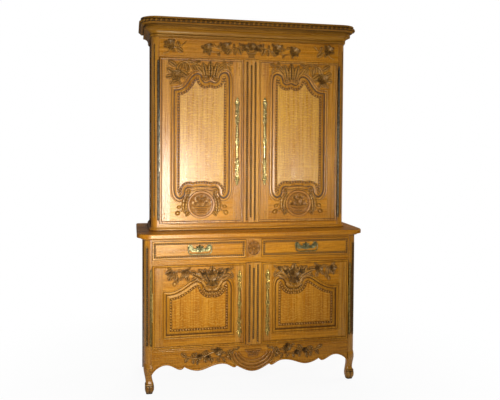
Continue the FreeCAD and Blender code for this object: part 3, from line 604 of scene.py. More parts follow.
def addLeaf(shape, face, u, v, angle, length, width, bend=0.0, lobes=4, height=8.0, lift=0.0, cut=0.2):
    look = leafShape
    t = np.linspace(0, 1, look["lobeRows"] * lobes + look["endRows"])
    full = np.sin(np.pi * np.clip(t, *look["ends"]) ** look["belly"]) ** look["roundness"]
    notch = 1 - cut * (0.5 + 0.5 * np.cos(2 * np.pi * lobes * t))
    half = np.maximum(0.5 * width * full * notch, look["leastHalf"])
    across = np.array(look["across"])
    swell = look["endHeight"] + look["swell"] * np.sqrt(np.clip(np.sin(np.pi * t), 0, 1))
    slanted = t[:, None] - look["veinSlant"] * np.abs(across)
    vein = 1 - look["veinDepth"] * (0.5 + 0.5 * np.cos(2 * np.pi * lobes * slanted))
    rise = height * np.array(look["crest"]) * swell[:, None] * vein + lift
    addBlade(shape, face, leafLine(u, v, angle, bend, length, t), half, across, rise, look["sweep"])


# A round-ended plume with ribs along it.
plumeShape = {
    "rows": 18,
    "ease": 0.85,
    "widest": 0.66,
    "tipLength": 0.34,
    "leastTip": 0.004,
    "footWidth": 0.36,
    "growth": 0.64,
    "ribColumns": 8,
    "edgeFall": 0.62,
    "ribRise": (0.7, 0.3),
    "swellEnd": 0.9,
    "swellLength": 1.3,
    "sweep": -0.12,
}


def addPlume(shape, face, u, v, angle, length, width, bend=0.0, ribs=2, height=8.0, lift=0.0):
    look = plumeShape
    t = np.linspace(0, 1, look["rows"])
    line = leafLine(u, v, angle, bend, length, t)
    t = t ** look["ease"]
    widest = look["widest"]
    tip = np.sqrt(np.clip(1 - ((t - widest) / look["tipLength"]) ** 2, look["leastTip"], 1))
    foot = look["footWidth"] + look["growth"] * np.sin(np.pi / 2 * t / widest)
    half = 0.5 * width * np.where(t < widest, foot, tip)
    across = np.linspace(-1, 1, look["ribColumns"] * ribs + 1)
    ground, ridge = look["ribRise"]
    crest = (1 - look["edgeFall"] * across**2) * (ground + ridge * np.cos(2 * np.pi * ribs * across))
    swell = 0.5 + 0.5 * np.sin(np.pi * np.clip(t, 0, look["swellEnd"]) / look["swellLength"])
    addBlade(shape, face, line, half, across, height * crest * swell[:, None] + lift, look["sweep"])


# Rings of cupped petals round a bud. Each ring has an inner and an outer reach, and a low and a high rise.
roseShape = {
    "rings": ((0.30, 1.00, 0.22, 0.60), (0.18, 0.70, 0.45, 0.86), (0.06, 0.40, 0.66, 1.00)),
    "innerPetals": 3,
    "innerTurn": 20.0,
    "rows": 6,
    "columns": 7,
    "overlap": 1.12,
    "spread": (0.72, 0.28),
    "tipRound": 0.16,
    "cup": 1.6,
    "edgeFall": 0.10,
    "tilt": 0.9,
    "budRadius": 0.17,
    "budHeight": 0.98,
}


def addRose(shape, face, u, v, radius, height=13.0, petals=5, turn=0.0, lift=0.0):
    look = roseShape
    counts = (petals, petals, look["innerPetals"])
    phases = (0.0, 180.0 / petals, look["innerTurn"])
    b = np.linspace(0, 1, look["rows"])[:, None]
    a = np.linspace(-1, 1, look["columns"])[None, :]
    narrow, growth = look["spread"]
    for count, phase, (inner, outer, low, high) in zip(counts, phases, look["rings"]):
        spread = np.pi / count * look["overlap"] * (narrow + growth * np.sin(np.pi * 0.5 * b))
        reach = radius * (inner + (outer - inner) * b * (1 - look["tipRound"] * a**2 * b))
        rise = height * (low + (high - low) * b ** look["cup"] - look["edgeFall"] * a**2 * b)
        rise = rise + look["tilt"] * a + lift
        for place in range(count):
            heading = np.radians(turn + phase) + 2 * np.pi * place / count + a * spread
            top = np.stack([u + reach * np.cos(heading), v + reach * np.sin(heading), rise], axis=2)
            addRidge(shape, face, top)
    bud = radius * look["budRadius"]
    addDome(shape, face, u, v, bud, bud, height * look["budHeight"], lift=lift)


# The eye of a scroll: a spiral round a ball, with sizes that are shares of its radius.
eyeShape = {
    "points": 16,
    "sweep": 2.4 * math.pi,
    "innerReach": 0.52,
    "stem": (0.24, 0.17),
    "rise": 1.5,
    "step": 3.0,
    "ball": (0.42, 0.42, 0.5),
}


def addEye(shape, face, u, v, radius, turn=0.0, way=1.0):
    look = eyeShape
    angles = np.radians(turn) + way * np.linspace(0, look["sweep"], look["points"])
    reach = radius * np.linspace(1.0, look["innerReach"], look["points"])
    spiral = np.column_stack([u + reach * np.cos(angles), v + reach * np.sin(angles)])
    start, end = [radius * share for share in look["stem"]]
    addStem(shape, face, spiral, start, end, look["rise"], step=look["step"])
    addDome(shape, face, u, v, *[radius * share for share in look["ball"]])


def spacedAlong(path, spacing, closed):
    rows = np.concatenate([path, path[:1]]) if closed else path
    lengths = np.concatenate([[0], np.cumsum(np.linalg.norm(np.diff(rows, axis=0), axis=1))])
    count = max(1, round(lengths[-1] / spacing))
    where = (np.arange(count) + 0.5) * lengths[-1] / count
    spots, later, earlier = [
        np.column_stack([np.interp(where + shift, lengths, column) for column in rows.T])
        for shift in (0, 1, -1)
    ]
    return spots, later - earlier


def addBeads(shape, face, path, spacing, length, width, height, lift=0.0, closed=True, turn=0.0):
    for spot, way in zip(*spacedAlong(path, spacing, closed)):
        angle = math.degrees(math.atan2(way[1], way[0])) + turn
        addDome(shape, face, spot[0], spot[1], length, width, height, angle, lift, beadColumns)


# A woven basket: rows of strands between a rope rim and a foot.
# Sizes are shares of the basket's width and height, and lifts are shares of its relief.
basketShape = {
    "rows": 4,
    "strands": 7,
    "belly": (0.66, 0.34),
    "bellyStart": 0.7,
    "bulge": (0.35, 0.45),
    "strand": (1.15, 0.52),
    "rope": 0.1,
    "rimReach": 0.56,
    "rimSag": 0.93,
    "rimRise": 1.8,
    "rimLift": 0.4,
    "footReach": 0.34,
    "footDrop": 0.04,
    "footRise": 1.2,
    "footLift": 0.2,
}


def addBasket(shape, face, u, v, width, tall, height):
    look = basketShape
    rows, strands = look["rows"], look["strands"]
    narrow, growth = look["belly"]
    edge, bulge = look["bulge"]
    strandWide, strandTall = look["strand"]
    for row in range(rows):
        level = v + tall * (row + 0.5) / rows
        half = 0.5 * width * (narrow + growth * math.sin(0.5 * math.pi * (row + look["bellyStart"]) / rows))
        wide, high = half / strands * strandWide, tall / rows * strandTall
        for place in range(strands):
            share = (place + 0.5 + 0.5 * (row % 2)) / strands * 2 - 1
            if abs(share) < 1:
                lift = height * (edge + bulge * math.sqrt(1 - share**2))
                addDome(shape, face, u + share * half, level, wide, high, lift)
    rope = tall * look["rope"]
    reach = look["rimReach"] * width
    rim = [(u - reach, v + tall), (u, v + tall * look["rimSag"]), (u + reach, v + tall)]
    addStem(shape, face, rim, rope, rope, look["rimRise"], height * look["rimLift"])
    reach = look["footReach"] * width
    base = [(x, v - tall * look["footDrop"]) for x in (u - reach, u + reach)]
    addStem(shape, face, base, rope, rope, look["footRise"], height * look["footLift"])


# A carving lists rows of numbers under each motif.
motifs = {
    "leaf": addLeaf,
    "plume": addPlume,
    "rose": addRose,
    "dome": addDome,
    "stem": addStem,
    "eye": addEye,
    "basket": addBasket,
}


def addCarving(shape, face, carving):
    for kind, rows in carving.items():
        for row in rows:
            motifs[kind](shape, face, *row)


# Doors: the shaped moulding follows each opening, with a bevelled band and a bead row inside it.
doorMoulding = {
    "step": 5.0,
    "profile": [
        (-24.0, -0.6, 0.7), (-23.2, 1.9, 0.2), (-20.8, 3.3, 0.0), (-18.0, 3.1, 0.0), (-15.6, 1.0, 0.8),
        (-13.6, 0.8, 0.9), (-11.0, 1.7, 0.2), (-6.0, 3.3, 0.0), (-2.6, 3.0, 0.0), (-0.9, 1.3, 0.5),
        (0.0, -2.0, 0.9), (0.8, -8.4, 1.0), (2.2, -8.6, 1.0), (3.4, -7.6, 0.3), (22.0, -2.6, 0.0),
        (23.2, -2.6, 0.1), (24.0, -4.6, 0.95), (37.0, -4.6, 0.95), (37.8, -3.6, 0.2), (40.0, -3.6, 0.1),
        (41.0, -5.4, 0.6),
    ],
    "floors": (-2.5, -11.6),
    "beadInset": 30.4,
    "beads": {"spacing": 17.5, "length": 7.0, "width": 5.9, "height": 5.6, "lift": -4.6},
    "lobeInset": 12.0,
    "lobes": {
        "spacing": 13.5, "length": 5.6, "width": 9.0, "height": 6.5, "lift": -4.6, "closed": False,
        "turn": 14.0,
    },
    "lobeShade": 0.5,
    "shadeFall": (2.2, 1.6),
    "ringColumns": 72,
    "ringProfile": [
        (0.0, -0.8, 1.0), (0.8, 4.0, 0.6), (3.4, 7.0, 0.0), (12.0, 7.8, 0.0), (15.6, 6.0, 0.2),
        (17.0, 2.6, 1.0), (18.6, 2.8, 1.0), (20.0, 4.6, 0.1), (22.6, 4.2, 0.1), (24.4, 1.0, 0.9),
        (27.0, 0.5, 0.5),
    ],
}
doorLip = {
    "profile": [
        (0.4, -1.0, 0.3), (0.4, 1.4, 0.1), (1.8, 2.8, 0.0), (6.4, 2.9, 0.0), (8.6, 1.5, 0.3), (9.4, 0.4, 1.0),
        (12.2, 0.4, 1.0), (13.0, 1.1, 0.2), (14.6, 1.2, 0.0), (15.8, 0.3, 0.5), (16.0, -1.0, 0.7),
    ],
    "stile": 66.0,
    "peg": (4.6, 4.6, 1.4),
    "pegInset": 0.55,
    "pegLevels": (-52, -96, 34, 62),
    "pegShift": 7,
}
upperDoor = {
    "mouldingWood": oakUpright,
    "bottom": [
        (-503, 1262), (-498, 1236), (-485, 1214), (-465, 1204), (-444, 1213), (-431, 1235), (-429, 1257),
        (-420, 1273), (-404, 1278), (-385, 1272), (-359, 1277), (-322, 1281), (-285, 1277), (-259, 1272),
        (-240, 1278), (-224, 1273), (-215, 1257), (-213, 1235), (-200, 1213), (-179, 1204), (-159, 1214),
        (-146, 1236), (-141, 1262),
    ],
    "top": [
        (-503, 1904), (-483, 1905), (-460, 1910), (-440, 1921), (-424, 1939), (-412, 1956), (-400, 1975),
        (-386, 1994), (-368, 2007), (-349, 2012), (-331, 2004), (-320, 1986), (-316, 1966), (-303, 1954),
        (-287, 1959), (-270, 1966), (-253, 1960), (-237, 1955), (-222, 1964), (-215, 1987), (-208, 2006),
        (-193, 2019), (-174, 2024), (-155, 2016), (-145, 1996), (-141, 1960),
    ],
    "carving": {
        "eye": [
            (-303, 1974, 18, 200, -1), (-235, 1974, 18, -20), (-409, 1256, 19, 160),
            (-233, 1256, 19, 20, -1),
        ],
        "leaf": [
            (-304, 1996, 128, 90, 42, 26, 6, 9, 0, 0.26), (-234, 1996, 52, 84, 38, -26, 6, 9, 0, 0.26),
            (-296, 1980, 101, 102, 50, 8, 7, 12, 0, 0.26), (-242, 1980, 79, 102, 50, -8, 7, 12, 0, 0.26),
            (-269, 1974, 90, 116, 48, 0, 7, 15, 1, 0.26), (-482, 2052, 150, 64, 38, -10, 6, 9),
            (-478, 2018, 76, 48, 36, 0, 5, 9), (-456, 2072, 236, 46, 34, 10, 5),
            (-436, 2078, 272, 44, 34, 20, 5), (-424, 2080, 24, 36, 24, -30),
            (-408, 2060, 256, 46, 30, 30, 5, 9), (-394, 2078, -16, 46, 28, -40),
            (-388, 2062, -58, 44, 32, 10, 5), (-352, 2068, -66, 44, 26, 20), (-362, 2076, 30, 34, 24, -20),
            (-500, 2014, 156, 52, 38, -16, 5, 9), (-514, 1988, 190, 40, 34, 10, 5),
            (-464, 2024, -34, 66, 40, -8, 6, 10), (-458, 1992, -12, 50, 32, 24, 5),
            (-472, 1966, 206, 50, 32, 0, 5), (-474, 1968, 290, 36, 26, 30, 4, 7),
            (-506, 1966, 238, 36, 28, 0, 4, 7), (-202, 2060, 150, 38, 26, 0, 4, 7),
            (-184, 2078, 80, 26, 22, 20, 4, 7), (-176, 2078, -84, 34, 26, 0, 4, 7),
            (-156, 2072, 24, 34, 26, -20, 4, 7), (-150, 2062, -72, 38, 24, 10, 4, 7),
        ],
        "dome": [(-269, 1981, 13, 11, 14), (-360, 2055, 9, 9, 9)],
        "stem": [
            ([(-484, 2026), (-480, 2050), (-460, 2074), (-434, 2083), (-412, 2074), (-401, 2050)], 6.5, 5.0),
            ([(-432, 2083), (-402, 2084), (-376, 2077), (-360, 2058)], 5.0, 3.6),
            ([(-214, 2046), (-200, 2067), (-178, 2081), (-157, 2073), (-143, 2052)], 5.0, 3.6),
        ],
        "rose": [(-487, 1994, 33, 17)],
    },
    "medallion": {
        "stem": [
            ([(-472, 1152), (-402, 1186)], 3.8, 3.8), ([(-478, 1114), (-398, 1160)], 3.8, 3.8),
            ([(-170, 1152), (-246, 1188)], 3.8, 3.8), ([(-164, 1114), (-250, 1162)], 3.8, 3.8),
        ],
        "dome": [
            (-470, 1153, 15, 12, 11, 24), (-478, 1114, 17, 15, 13, 30), (-172, 1153, 15, 12, 11, -24),
            (-164, 1114, 17, 15, 13, -30),
        ],
        "leaf": [
            (-404, 1236, 250, 138, 46, 62, 7, 11), (-246, 1236, 290, 138, 46, -62, 7, 11),
            (-410, 1194, 158, 44, 30, -40, 4, 9), (-240, 1194, 22, 44, 30, 40, 4, 9),
            (-394, 1126, 222, 46, 28, 40), (-256, 1126, 318, 46, 28, -40),
        ],
    },
    "picture": {
        "basket": [(-325, 1108, 92, 44, 7)],
        "rose": [
            (-358, 1166, 19, 8), (-292, 1166, 19, 8), (-325, 1180, 24, 10), (-346, 1206, 15, 7),
            (-303, 1206, 15, 7),
        ],
        "leaf": [
            (-368, 1162, 186, 26, 22, 0, 4, 5), (-282, 1162, -6, 26, 22, 0, 4, 5),
            (-366, 1186, 136, 30, 22, 0, 4, 5), (-284, 1186, 44, 30, 22, 0, 4, 5),
            (-325, 1206, 90, 30, 22, 0, 4, 5), (-366, 1122, 140, 34, 22, 30, 4, 4),
            (-284, 1122, 40, 34, 22, -30, 4, 4), (-348, 1106, 190, 28, 18, -30, 4, 4),
            (-302, 1106, -10, 28, 18, 30, 4, 4),
        ],
    },
    "ringCentre": (-325, 1167),
    "ringReach": 90.0,
    "shade": 0.0,
    "shadeCentre": (-269, 1966),
    "shadeReach": 60.0,
}
baseDoor = {
    "mouldingWood": oakQuiet,
    "bottom": [(-557, 360), (-142, 360)],
    "top": [
        (-557, 619), (-540, 617), (-525, 618), (-505, 622), (-487, 628), (-456, 643), (-425, 663),
        (-394, 684), (-362, 696), (-338, 690), (-322, 674), (-317, 655), (-305, 637), (-289, 627),
        (-269, 631), (-250, 626), (-232, 632), (-219, 648), (-212, 670), (-200, 689), (-177, 699),
        (-157, 689), (-145, 666), (-142, 640),
    ],
    "carving": {
        "eye": [(-302, 654, 18, 200, -1), (-235, 654, 18, -20)],
        "leaf": [
            (-510, 764, 196, 54, 36, -10, 5, 9), (-516, 758, 244, 58, 38, 14, 5, 9),
            (-504, 760, 276, 50, 30, -16, 5), (-518, 768, 150, 34, 22, 0, 4, 7),
            (-496, 698, 236, 24, 16, 0, 3, 7), (-484, 730, 268, 42, 22, 14), (-454, 758, 156, 32, 24),
            (-446, 740, 236, 40, 26), (-430, 734, 288, 42, 28, 10, 5), (-418, 750, 4, 48, 30, 14, 5, 9),
            (-426, 766, 44, 30, 22, 0, 4, 7), (-312, 694, 148, 88, 60, 14, 6, 12, 0, 0.3),
            (-302, 694, 122, 92, 56, 10, 6, 12, 0, 0.3), (-224, 694, 32, 78, 56, -14, 6, 12, 0, 0.3),
            (-234, 694, 58, 90, 56, -10, 6, 12, 0, 0.3), (-268, 680, 90, 112, 58, 0, 6, 13, 0, 0.3),
            (-290, 700, 110, 78, 42, 0, 5, 13, 1, 0.3), (-246, 700, 70, 78, 42, 0, 5, 13, 1, 0.3),
            (-186, 754, 138, 32, 22, 0, 4, 7), (-160, 760, 32, 34, 22, -20, 4, 7),
            (-146, 746, -66, 36, 20, 10, 4, 7), (-196, 712, 8, 66, 30, -80, 5, 9),
            (-346, 712, 190, 60, 30, 40, 5, 9),
        ],
        "rose": [
            (-528, 748, 22), (-437, 750, 25, 14), (-268, 730, 31, 17, 6, 0, 5),
            (-320, 738, 15, 12, 5, 0, 7), (-217, 738, 15, 12, 5, 0, 7), (-170, 762, 13, 10),
        ],
        "stem": [
            ([(-506, 764), (-480, 769), (-456, 760)], 4.2, 3.6),
            ([(-490, 766), (-486, 740), (-496, 712), (-503, 696)], 4.0, 3.2),
            ([(-316, 668), (-330, 690), (-320, 714), (-300, 710), (-302, 698)], 6.5, 4.0),
            ([(-221, 668), (-206, 690), (-216, 714), (-236, 710), (-234, 698)], 6.5, 4.0),
            ([(-192, 744), (-176, 764), (-154, 758), (-140, 738)], 4.2, 3.0),
            ([(-352, 706), (-330, 696), (-312, 672), (-306, 652), (-288, 640), (-272, 646)], 9.0, 6.0, 0.9),
            ([(-190, 706), (-206, 696), (-222, 672), (-230, 652), (-248, 640), (-264, 646)], 9.0, 6.0, 0.9),
        ],
        "dome": [(-504, 684, 12, 16, 11, -10)],
        "plume": [
            (-268, 706, 270, 46, 44, 0, 3, 11), (-280, 702, 236, 40, 22, 0, 2, 9),
            (-256, 702, 304, 40, 22, 0, 2, 9),
        ],
    },
    "shade": 0.6,
    "shadeCentre": (-268, 640),
    "shadeReach": 62.0,
}


def doorOutline(values):
    bottom, top = values["bottom"], values["top"]
    parts = [bottom, [bottom[-1], top[-1]], top[::-1], [top[0], bottom[0]]]
    return np.concatenate([splinePath(part, doorMoulding["step"])[:-1] for part in parts])


def dressDoor(level, sideName, values):
    prefix = level + "_" + sideName
    body = prefix + "_door"
    side = 1.0 if sideName == "left" else -1.0
    low, high = boxOf(prefix + "_door_frame")
    left, right = sorted((side * low[0], side * high[0]))
    face = frontFace(low[1], side)
    outline = doorOutline(values)
    away = np.linalg.norm((outline - values["shadeCentre"]) / values["shadeReach"], axis=1)
    most, fall = doorMoulding["shadeFall"]
    shade = values["shade"] * np.clip(most - fall * away, 0, 1)
    moulded = newShape()
    addMoulding(moulded, face, outline, doorMoulding["profile"], *doorMoulding["floors"], shade)
    addMoulding(moulded, face, rectangle((left, low[2]), (right, high[2])), doorLip["profile"])
    makePiece(prefix + "_door_moulding", moulded, values["mouldingWood"], body)
    beads = newShape()
    addBeads(beads, face, insetLoop(outline, doorMoulding["beadInset"]), **doorMoulding["beads"])
    makePiece(prefix + "_door_beads", beads, oakUpright, body)
    carved = newShape()
    pegInset = doorLip["stile"] * doorLip["pegInset"]
    for u in (left + pegInset, right - pegInset):
        for rise in doorLip["pegLevels"]:
            v = rise + (high[2] if rise < 0 else low[2])
            shift = doorLip["pegShift"] * (1 if round(v) % 2 else -1)
            addDome(carved, face, u + shift, v, *doorLip["peg"])
    lobes = insetLoop(outline, doorMoulding["lobeInset"])[shade > doorMoulding["lobeShade"]]
    if len(lobes):
        addBeads(carved, face, lobes, **doorMoulding["lobes"])
    addCarving(carved, face, values["carving"])
    if "medallion" in values:
        addCarving(carved, face, values["medallion"])
        medal = newShape()
        addCarving(medal, face, values["picture"])
        reach = values["ringReach"]
        ring = ovalLoop(doorMoulding["ringColumns"], reach, reach) + values["ringCentre"]
        addMoulding(medal, face, ring, doorMoulding["ringProfile"])
        makePiece(prefix + "_door_medallion", medal, oakRelief, body)
    makePiece(prefix + "_door_carving", carved, oakCarved, body)


for sideName in ("left", "right"):
    dressDoor("upper", sideName, upperDoor)
    dressDoor("base", sideName, baseDoor)
print("doors dressed")


# Drawers: a lip, a rope line over a dark bed that paints the shade of its groove,
# and brass pulls with a palmette plate.
drawerDress = {
    "lip": [
        (0.3, -1.0, 0.3), (0.3, 2.0, 0.1), (1.8, 3.8, 0.0), (7.2, 4.0, 0.0), (9.2, 3.0, 0.2),
        (10.0, 0.6, 1.0), (20.6, 0.6, 1.0), (21.4, 1.5, 0.2), (23.2, 1.5, 0.0), (24.2, 0.2, 0.5),
        (24.4, -1.0, 0.7),
    ],
    "ropeBed": [(9.7, -0.8, 1.0), (9.9, 0.9, 1.0), (20.7, 0.9, 1.0), (20.9, -0.8, 1.0)],
    "ropeInset": 15.3,
    "rope": {
        "spacing": 13.4, "length": 5.0, "width": 3.7, "height": 4.4, "lift": 0.4, "closed": False,
        "turn": 38.0,
    },
}
pullPlate = {
    "leftEdge": [
        (0, 14), (-9, 6), (-20, -6), (-30, -9), (-42, -3), (-52, 7), (-62, 9), (-67, 2), (-66, -12),
        (-60, -24), (-48, -31), (-30, -29), (-14, -32), (0, -35),
    ],
    "carving": {
        "plume": [(0, -14, 90, 26, 15, 0, 2, 4, 2)],
        "leaf": [
            (-3, -12, 140, 26, 12, 20, 3, 4, 2), (3, -12, 40, 26, 12, -20, 3, 4, 2),
            (0, -14, 270, 19, 18, 0, 3, 4, 2),
        ],
        "stem": [
            ([(-8, -16), (-22, -22), (-36, -20), (-46, -10), (-40, -6), (-36, -12)], 2.6, 1.8, 1.2, 2.0, 3),
            ([(8, -16), (22, -22), (36, -20), (46, -10), (40, -6), (36, -12)], 2.6, 1.8, 1.2, 2.0, 3),
        ],
        "dome": [(0, -14, 6, 5, 8)],
        "rose": [(-60.0, 0, 11.5, 6.0, 6), (60.0, 0, 11.5, 6.0, 6)],
    },
    "step": 3.0,
    "thickness": 2.4,
}


def addPlate(shape, face, outline, thickness):
    steps = [(0.0, plateFloor, 1.0)]
    steps += [(inset, share * thickness, stain) for inset, share, stain in plateSteps]
    rings = [raised(insetLoop(outline, inset), height) for inset, height, _ in steps]
    addLoft(shape, face, np.stack(rings), np.array([step[2] for step in steps])[:, None])


pullOutline = pullPlate["leftEdge"] + [(-u, v) for u, v in pullPlate["leftEdge"][-2::-1]]
for prefix in ("drawer_left", "drawer_right"):
    low, high = boxOf(prefix + "_front")
    face = frontFace(low[1])
    edge = rectangle((low[0], low[2]), (high[0], high[2]))
    # The rope bed is a dark sheet under the rope: painted shade in the groove.
    for name, key, wood in (("_lip", "lip", oakAcross), ("_rope_bed", "ropeBed", oakCarved)):
        moulded = newShape()
        addMoulding(moulded, face, edge, drawerDress[key])
        makePiece(prefix + name, moulded, wood, prefix)
    rope = newShape()
    inner = insetLoop(edge, drawerDress["ropeInset"])
    for start in range(4):
        addBeads(rope, face, inner[[start, (start + 1) % 4]], **drawerDress["rope"])
    makePiece(prefix + "_rope", rope, oakAcross, prefix)
    face = faceOver(prefix + "_pull_studs", prefix + "_front")
    plate = newShape()
    addPlate(plate, face, splinePath(pullOutline, pullPlate["step"])[:-1], pullPlate["thickness"])
    addCarving(plate, face, pullPlate["carving"])
    makePiece(prefix + "_pull_plate", plate, pullBrass, prefix)
print("drawers dressed")


# Beads in the flutes of the posts, over a dark lining that paints the shade of the flute. The face of a flute
# lies near its bottom.
fluteBeads = {
    "beads": {"spacing": 13.6, "length": 3.9, "width": 3.9, "height": 4.0, "closed": False},
    "faceDepth": 4.2,
    "hollow": 6.3,
    "liningColumns": 9,
    "liningShare": 0.82,
    "liningThick": 1.0,
    "liningInset": 5.0,
    "liningSink": 0.1,
    "spread": 27.0,
    "margins": {-1: 16.0, 0: 36.0, 1: 16.0},
    "cornerMargin": 45.0,
    "cornerAngle": math.radians(35.0),
    "cornerRound": 44.0,
}


def fillFlute(shape, face, x, low, high):
    addBeads(shape, face, np.array([(x, low), (x, high)]), **fluteBeads["beads"])
    radius, inset, sink = [fluteBeads[key] for key in ("hollow", "liningInset", "liningSink")]
    count = fluteBeads["liningColumns"]
    across = np.linspace(-1, 1, count) * fluteBeads["liningShare"] * radius
    rise = radius - np.sqrt(radius**2 - across**2) - sink
    top = [np.column_stack([x + across, np.full(count, z), rise]) for z in (low + inset, high - inset)]
    # The lining is a dark sheet at full stain: painted shade in the hollow of the flute.
    addRidge(shape, face, np.stack(top), -fluteBeads["liningThick"] - sink, 1.0)


def fillFlutes(name, post, frontPosts, cornerLow, cornerHigh):
    low, high = boxOf(post)
    shape = newShape()
    for place, margin in fluteBeads["margins"].items():
        face = frontFace(low[1] + fluteBeads["faceDepth"])
        fillFlute(shape, face, place * fluteBeads["spread"], low[2] + margin, high[2] - margin)
    low, high = boxOf(frontPosts)
    s, c = math.sin(fluteBeads["cornerAngle"]), math.cos(fluteBeads["cornerAngle"])
    radius, margin = fluteBeads["cornerRound"], fluteBeads["cornerMargin"]
    reach = radius - fluteBeads["faceDepth"]
    for side in (-1, 1):
        origin = (side * (high[0] - radius + s * reach), low[1] + radius - c * reach, 0)
        corner = faceAt(origin, (c, side * s, 0), (side * s, -c, 0))
        fillFlute(shape, corner, 0.0, cornerLow + margin, cornerHigh - margin)
    makePiece(name, shape, oakCarved)


tableLow, tableHigh = boxOf("base_top")
corniceLevel = boxOf("cornice")[0][2]
sillLevel = boxOf("base_centre_post")[0][2]
fillFlutes("base_flute_beads", "base_centre_post", "base_front_posts", sillLevel, tableLow[2])
sillLevel = boxOf("upper_bottom_rail")[1][2]
fillFlutes("upper_flute_beads", "upper_centre_post", "upper_front_posts", sillLevel, corniceLevel)
print("flutes filled")


# Cornice and foot moulding run round the upper cupboard's sides and front; the dark bands behind the
# gadroons and beads are painted shade. Each band row is how far it stands out, a rise and a value of
# stain and painted shade.
corniceDress = {
    "round": 44.0,
    "backGap": 6.0,
    "sideRows": 30,
    "cornerRows": 12,
    "frontRows": 60,
    "bands": (
        [
            (56.0, 81, 1.0), (66.0, 82, 0.9), (70.0, 86, 0.9), (71.0, 92, 0.9), (70.0, 98, 0.9),
            (66.0, 103, 0.6), (56.0, 104.5, 0.6),
        ],
        [(34.0, 47.6, 1.0), (39.2, 47.8, 0.9), (39.2, 59.4, 0.9), (34.0, 59.6, 1.0)],
    ),
    "gadroons": {
        "reach": 69.0, "rise": 92.0, "spacing": 31.0,
        "domes": [(0, 0, 11.5, 8.6, 6.5, 24), (15.5, 0, 2.4, 7.0, 4.5, -14)],
    },
    "beads": {"reach": 38.6, "rise": 53.5, "spacing": 12.5, "domes": [(0, 0, 4.8, 5.2, 4.8)]},
    "foot": [
        (-2.0, 0.2, 1.0), (11.0, 0.2, 0.8), (12.0, 3.0, 0.1), (11.4, 11.0, 0.0), (8.0, 15.84, 0.1),
        (4.6, 16.72, 0.9), (4.4, 18.48, 0.2), (3.2, 22.0, 0.1), (-2.0, 22.0, 0.8),
    ],
}


# A path round the left side, front and right side, with outward normals.
def cabinetPath(half, front, back, radius):
    rows = []
    for y in np.linspace(back, front + radius, corniceDress["sideRows"], endpoint=False):
        rows.append((-half, y, -1.0, 0.0))
    for angle in np.linspace(math.pi, 1.5 * math.pi, corniceDress["cornerRows"]):
        out = (math.cos(angle), math.sin(angle))
        rows.append((-half + radius + radius * out[0], front + radius + radius * out[1], *out))
    mirrored = [(-x, y, -outX, outY) for x, y, outX, outY in rows[::-1]]
    for x in np.linspace(-half + radius, half - radius, corniceDress["frontRows"])[1:-1]:
        rows.append((x, front, 0.0, -1.0))
    return np.array(rows + mirrored)


def addBand(shape, path, level, profile):
    columns = [raised(path[:, :2] + path[:, 2:] * out, level + rise) for out, rise, _ in profile]
    addLoft(shape, world, np.stack(columns, axis=1), np.array([row[2] for row in profile]))


def addAround(shape, path, level, values):
    line = path[:, :2] + path[:, 2:] * values["reach"]
    for spot in spacedAlong(line, values["spacing"], False)[0]:
        outX, outY = path[np.linalg.norm(line - spot, axis=1).argmin(), 2:]
        place = faceAt((*spot, level + values["rise"]), (-outY, outX, 0), (outX, outY, 0))
        for dome in values["domes"]:
            addDome(shape, place, *dome)


upperLow, upperHigh = boxOf("upper_front_posts")
upperBack = boxOf("upper_rear_posts")[1][1] - corniceDress["backGap"]
upperPath = cabinetPath(upperHigh[0], upperLow[1], upperBack, corniceDress["round"])
# Dark strips behind the gadroons and beads: painted shade between them.
shadeStrips = newShape()
for band in corniceDress["bands"]:
    addBand(shadeStrips, upperPath, corniceLevel, band)
makePiece("cornice_strips", shadeStrips, oakCornice)
for key in ("gadroons", "beads"):
    row = newShape()
    addAround(row, upperPath, corniceLevel, corniceDress[key])
    makePiece("cornice_" + key, row, oakCornice)
foot = newShape()
addBand(foot, upperPath, tableHigh[2], corniceDress["foot"])
makePiece("upper_foot_moulding", foot, oakAcross)
print("cornice dressed")


# Frieze: sprays at the ends, and garlands either side of a basket of flowers.
friezeCarving = {
    "half": {
        "stem": [
            ([(-568, 2131), (-548, 2136), (-530, 2150), (-522, 2168)], 4.6, 3.6),
            ([(-512, 2172), (-482, 2172), (-456, 2182), (-424, 2212)], 4.2, 3.2),
            ([(-266, 2154), (-230, 2148), (-196, 2156)], 4.2, 3.2),
            ([(-240, 2190), (-216, 2172), (-200, 2164)], 3.6, 3.0),
            ([(-152, 2160), (-122, 2174), (-84, 2188), (-44, 2190)], 4.4, 3.4),
        ],
        "leaf": [
            (-514, 2164, -54, 27, 21, 20), (-486, 2174, -40, 51, 35, 10, 5, 9),
            (-466, 2178, 116, 37, 26, -30), (-546, 2196, 152, 21, 23), (-530, 2208, 100, 18, 19, 0, 4, 7),
            (-546, 2180, 204, 22, 23, 10), (-508, 2206, 54, 18, 18, 0, 4, 7),
            (-308, 2176, 172, 24, 25, 10, 4, 9), (-300, 2156, 222, 21, 21), (-280, 2150, 284, 22, 23),
            (-272, 2190, 66, 18, 19), (-228, 2178, 32, 26, 18, 0, 4, 7), (-226, 2150, -50, 30, 19),
            (-130, 2170, 226, 48, 28, 20, 5, 9), (-114, 2176, -82, 40, 25, -14, 4, 9),
            (-118, 2180, 84, 28, 19, -10), (-86, 2186, -72, 49, 32, 16, 5, 10), (-72, 2190, 110, 28, 19),
            (-194, 2198, 146, 21, 21), (-152, 2204, 34, 21, 21), (-172, 2162, 268, 20, 21),
            (-52, 2172, 214, 24, 23, -20), (-50, 2196, 140, 18, 19), (-20, 2168, 248, 20, 19),
        ],
        "rose": [(-526, 2188, 29, 15), (-288, 2172, 29, 15), (-172, 2184, 29, 15), (-40, 2184, 20)],
        "dome": [(-246, 2192, 13, 10, 10, -35)],
    },
    "middle": {
        "basket": [(0, 2122, 58, 34, 5)],
        "rose": [(0, 2192, 24, 15)],
        "leaf": [(-16, 2202, 112, 16, 18, 0, 3, 7), (16, 2202, 68, 16, 18, 0, 3, 7)],
    },
}


def addBothWays(shape, level, carving):
    for way in (1, -1):
        addCarving(shape, frontFace(level, way), carving)


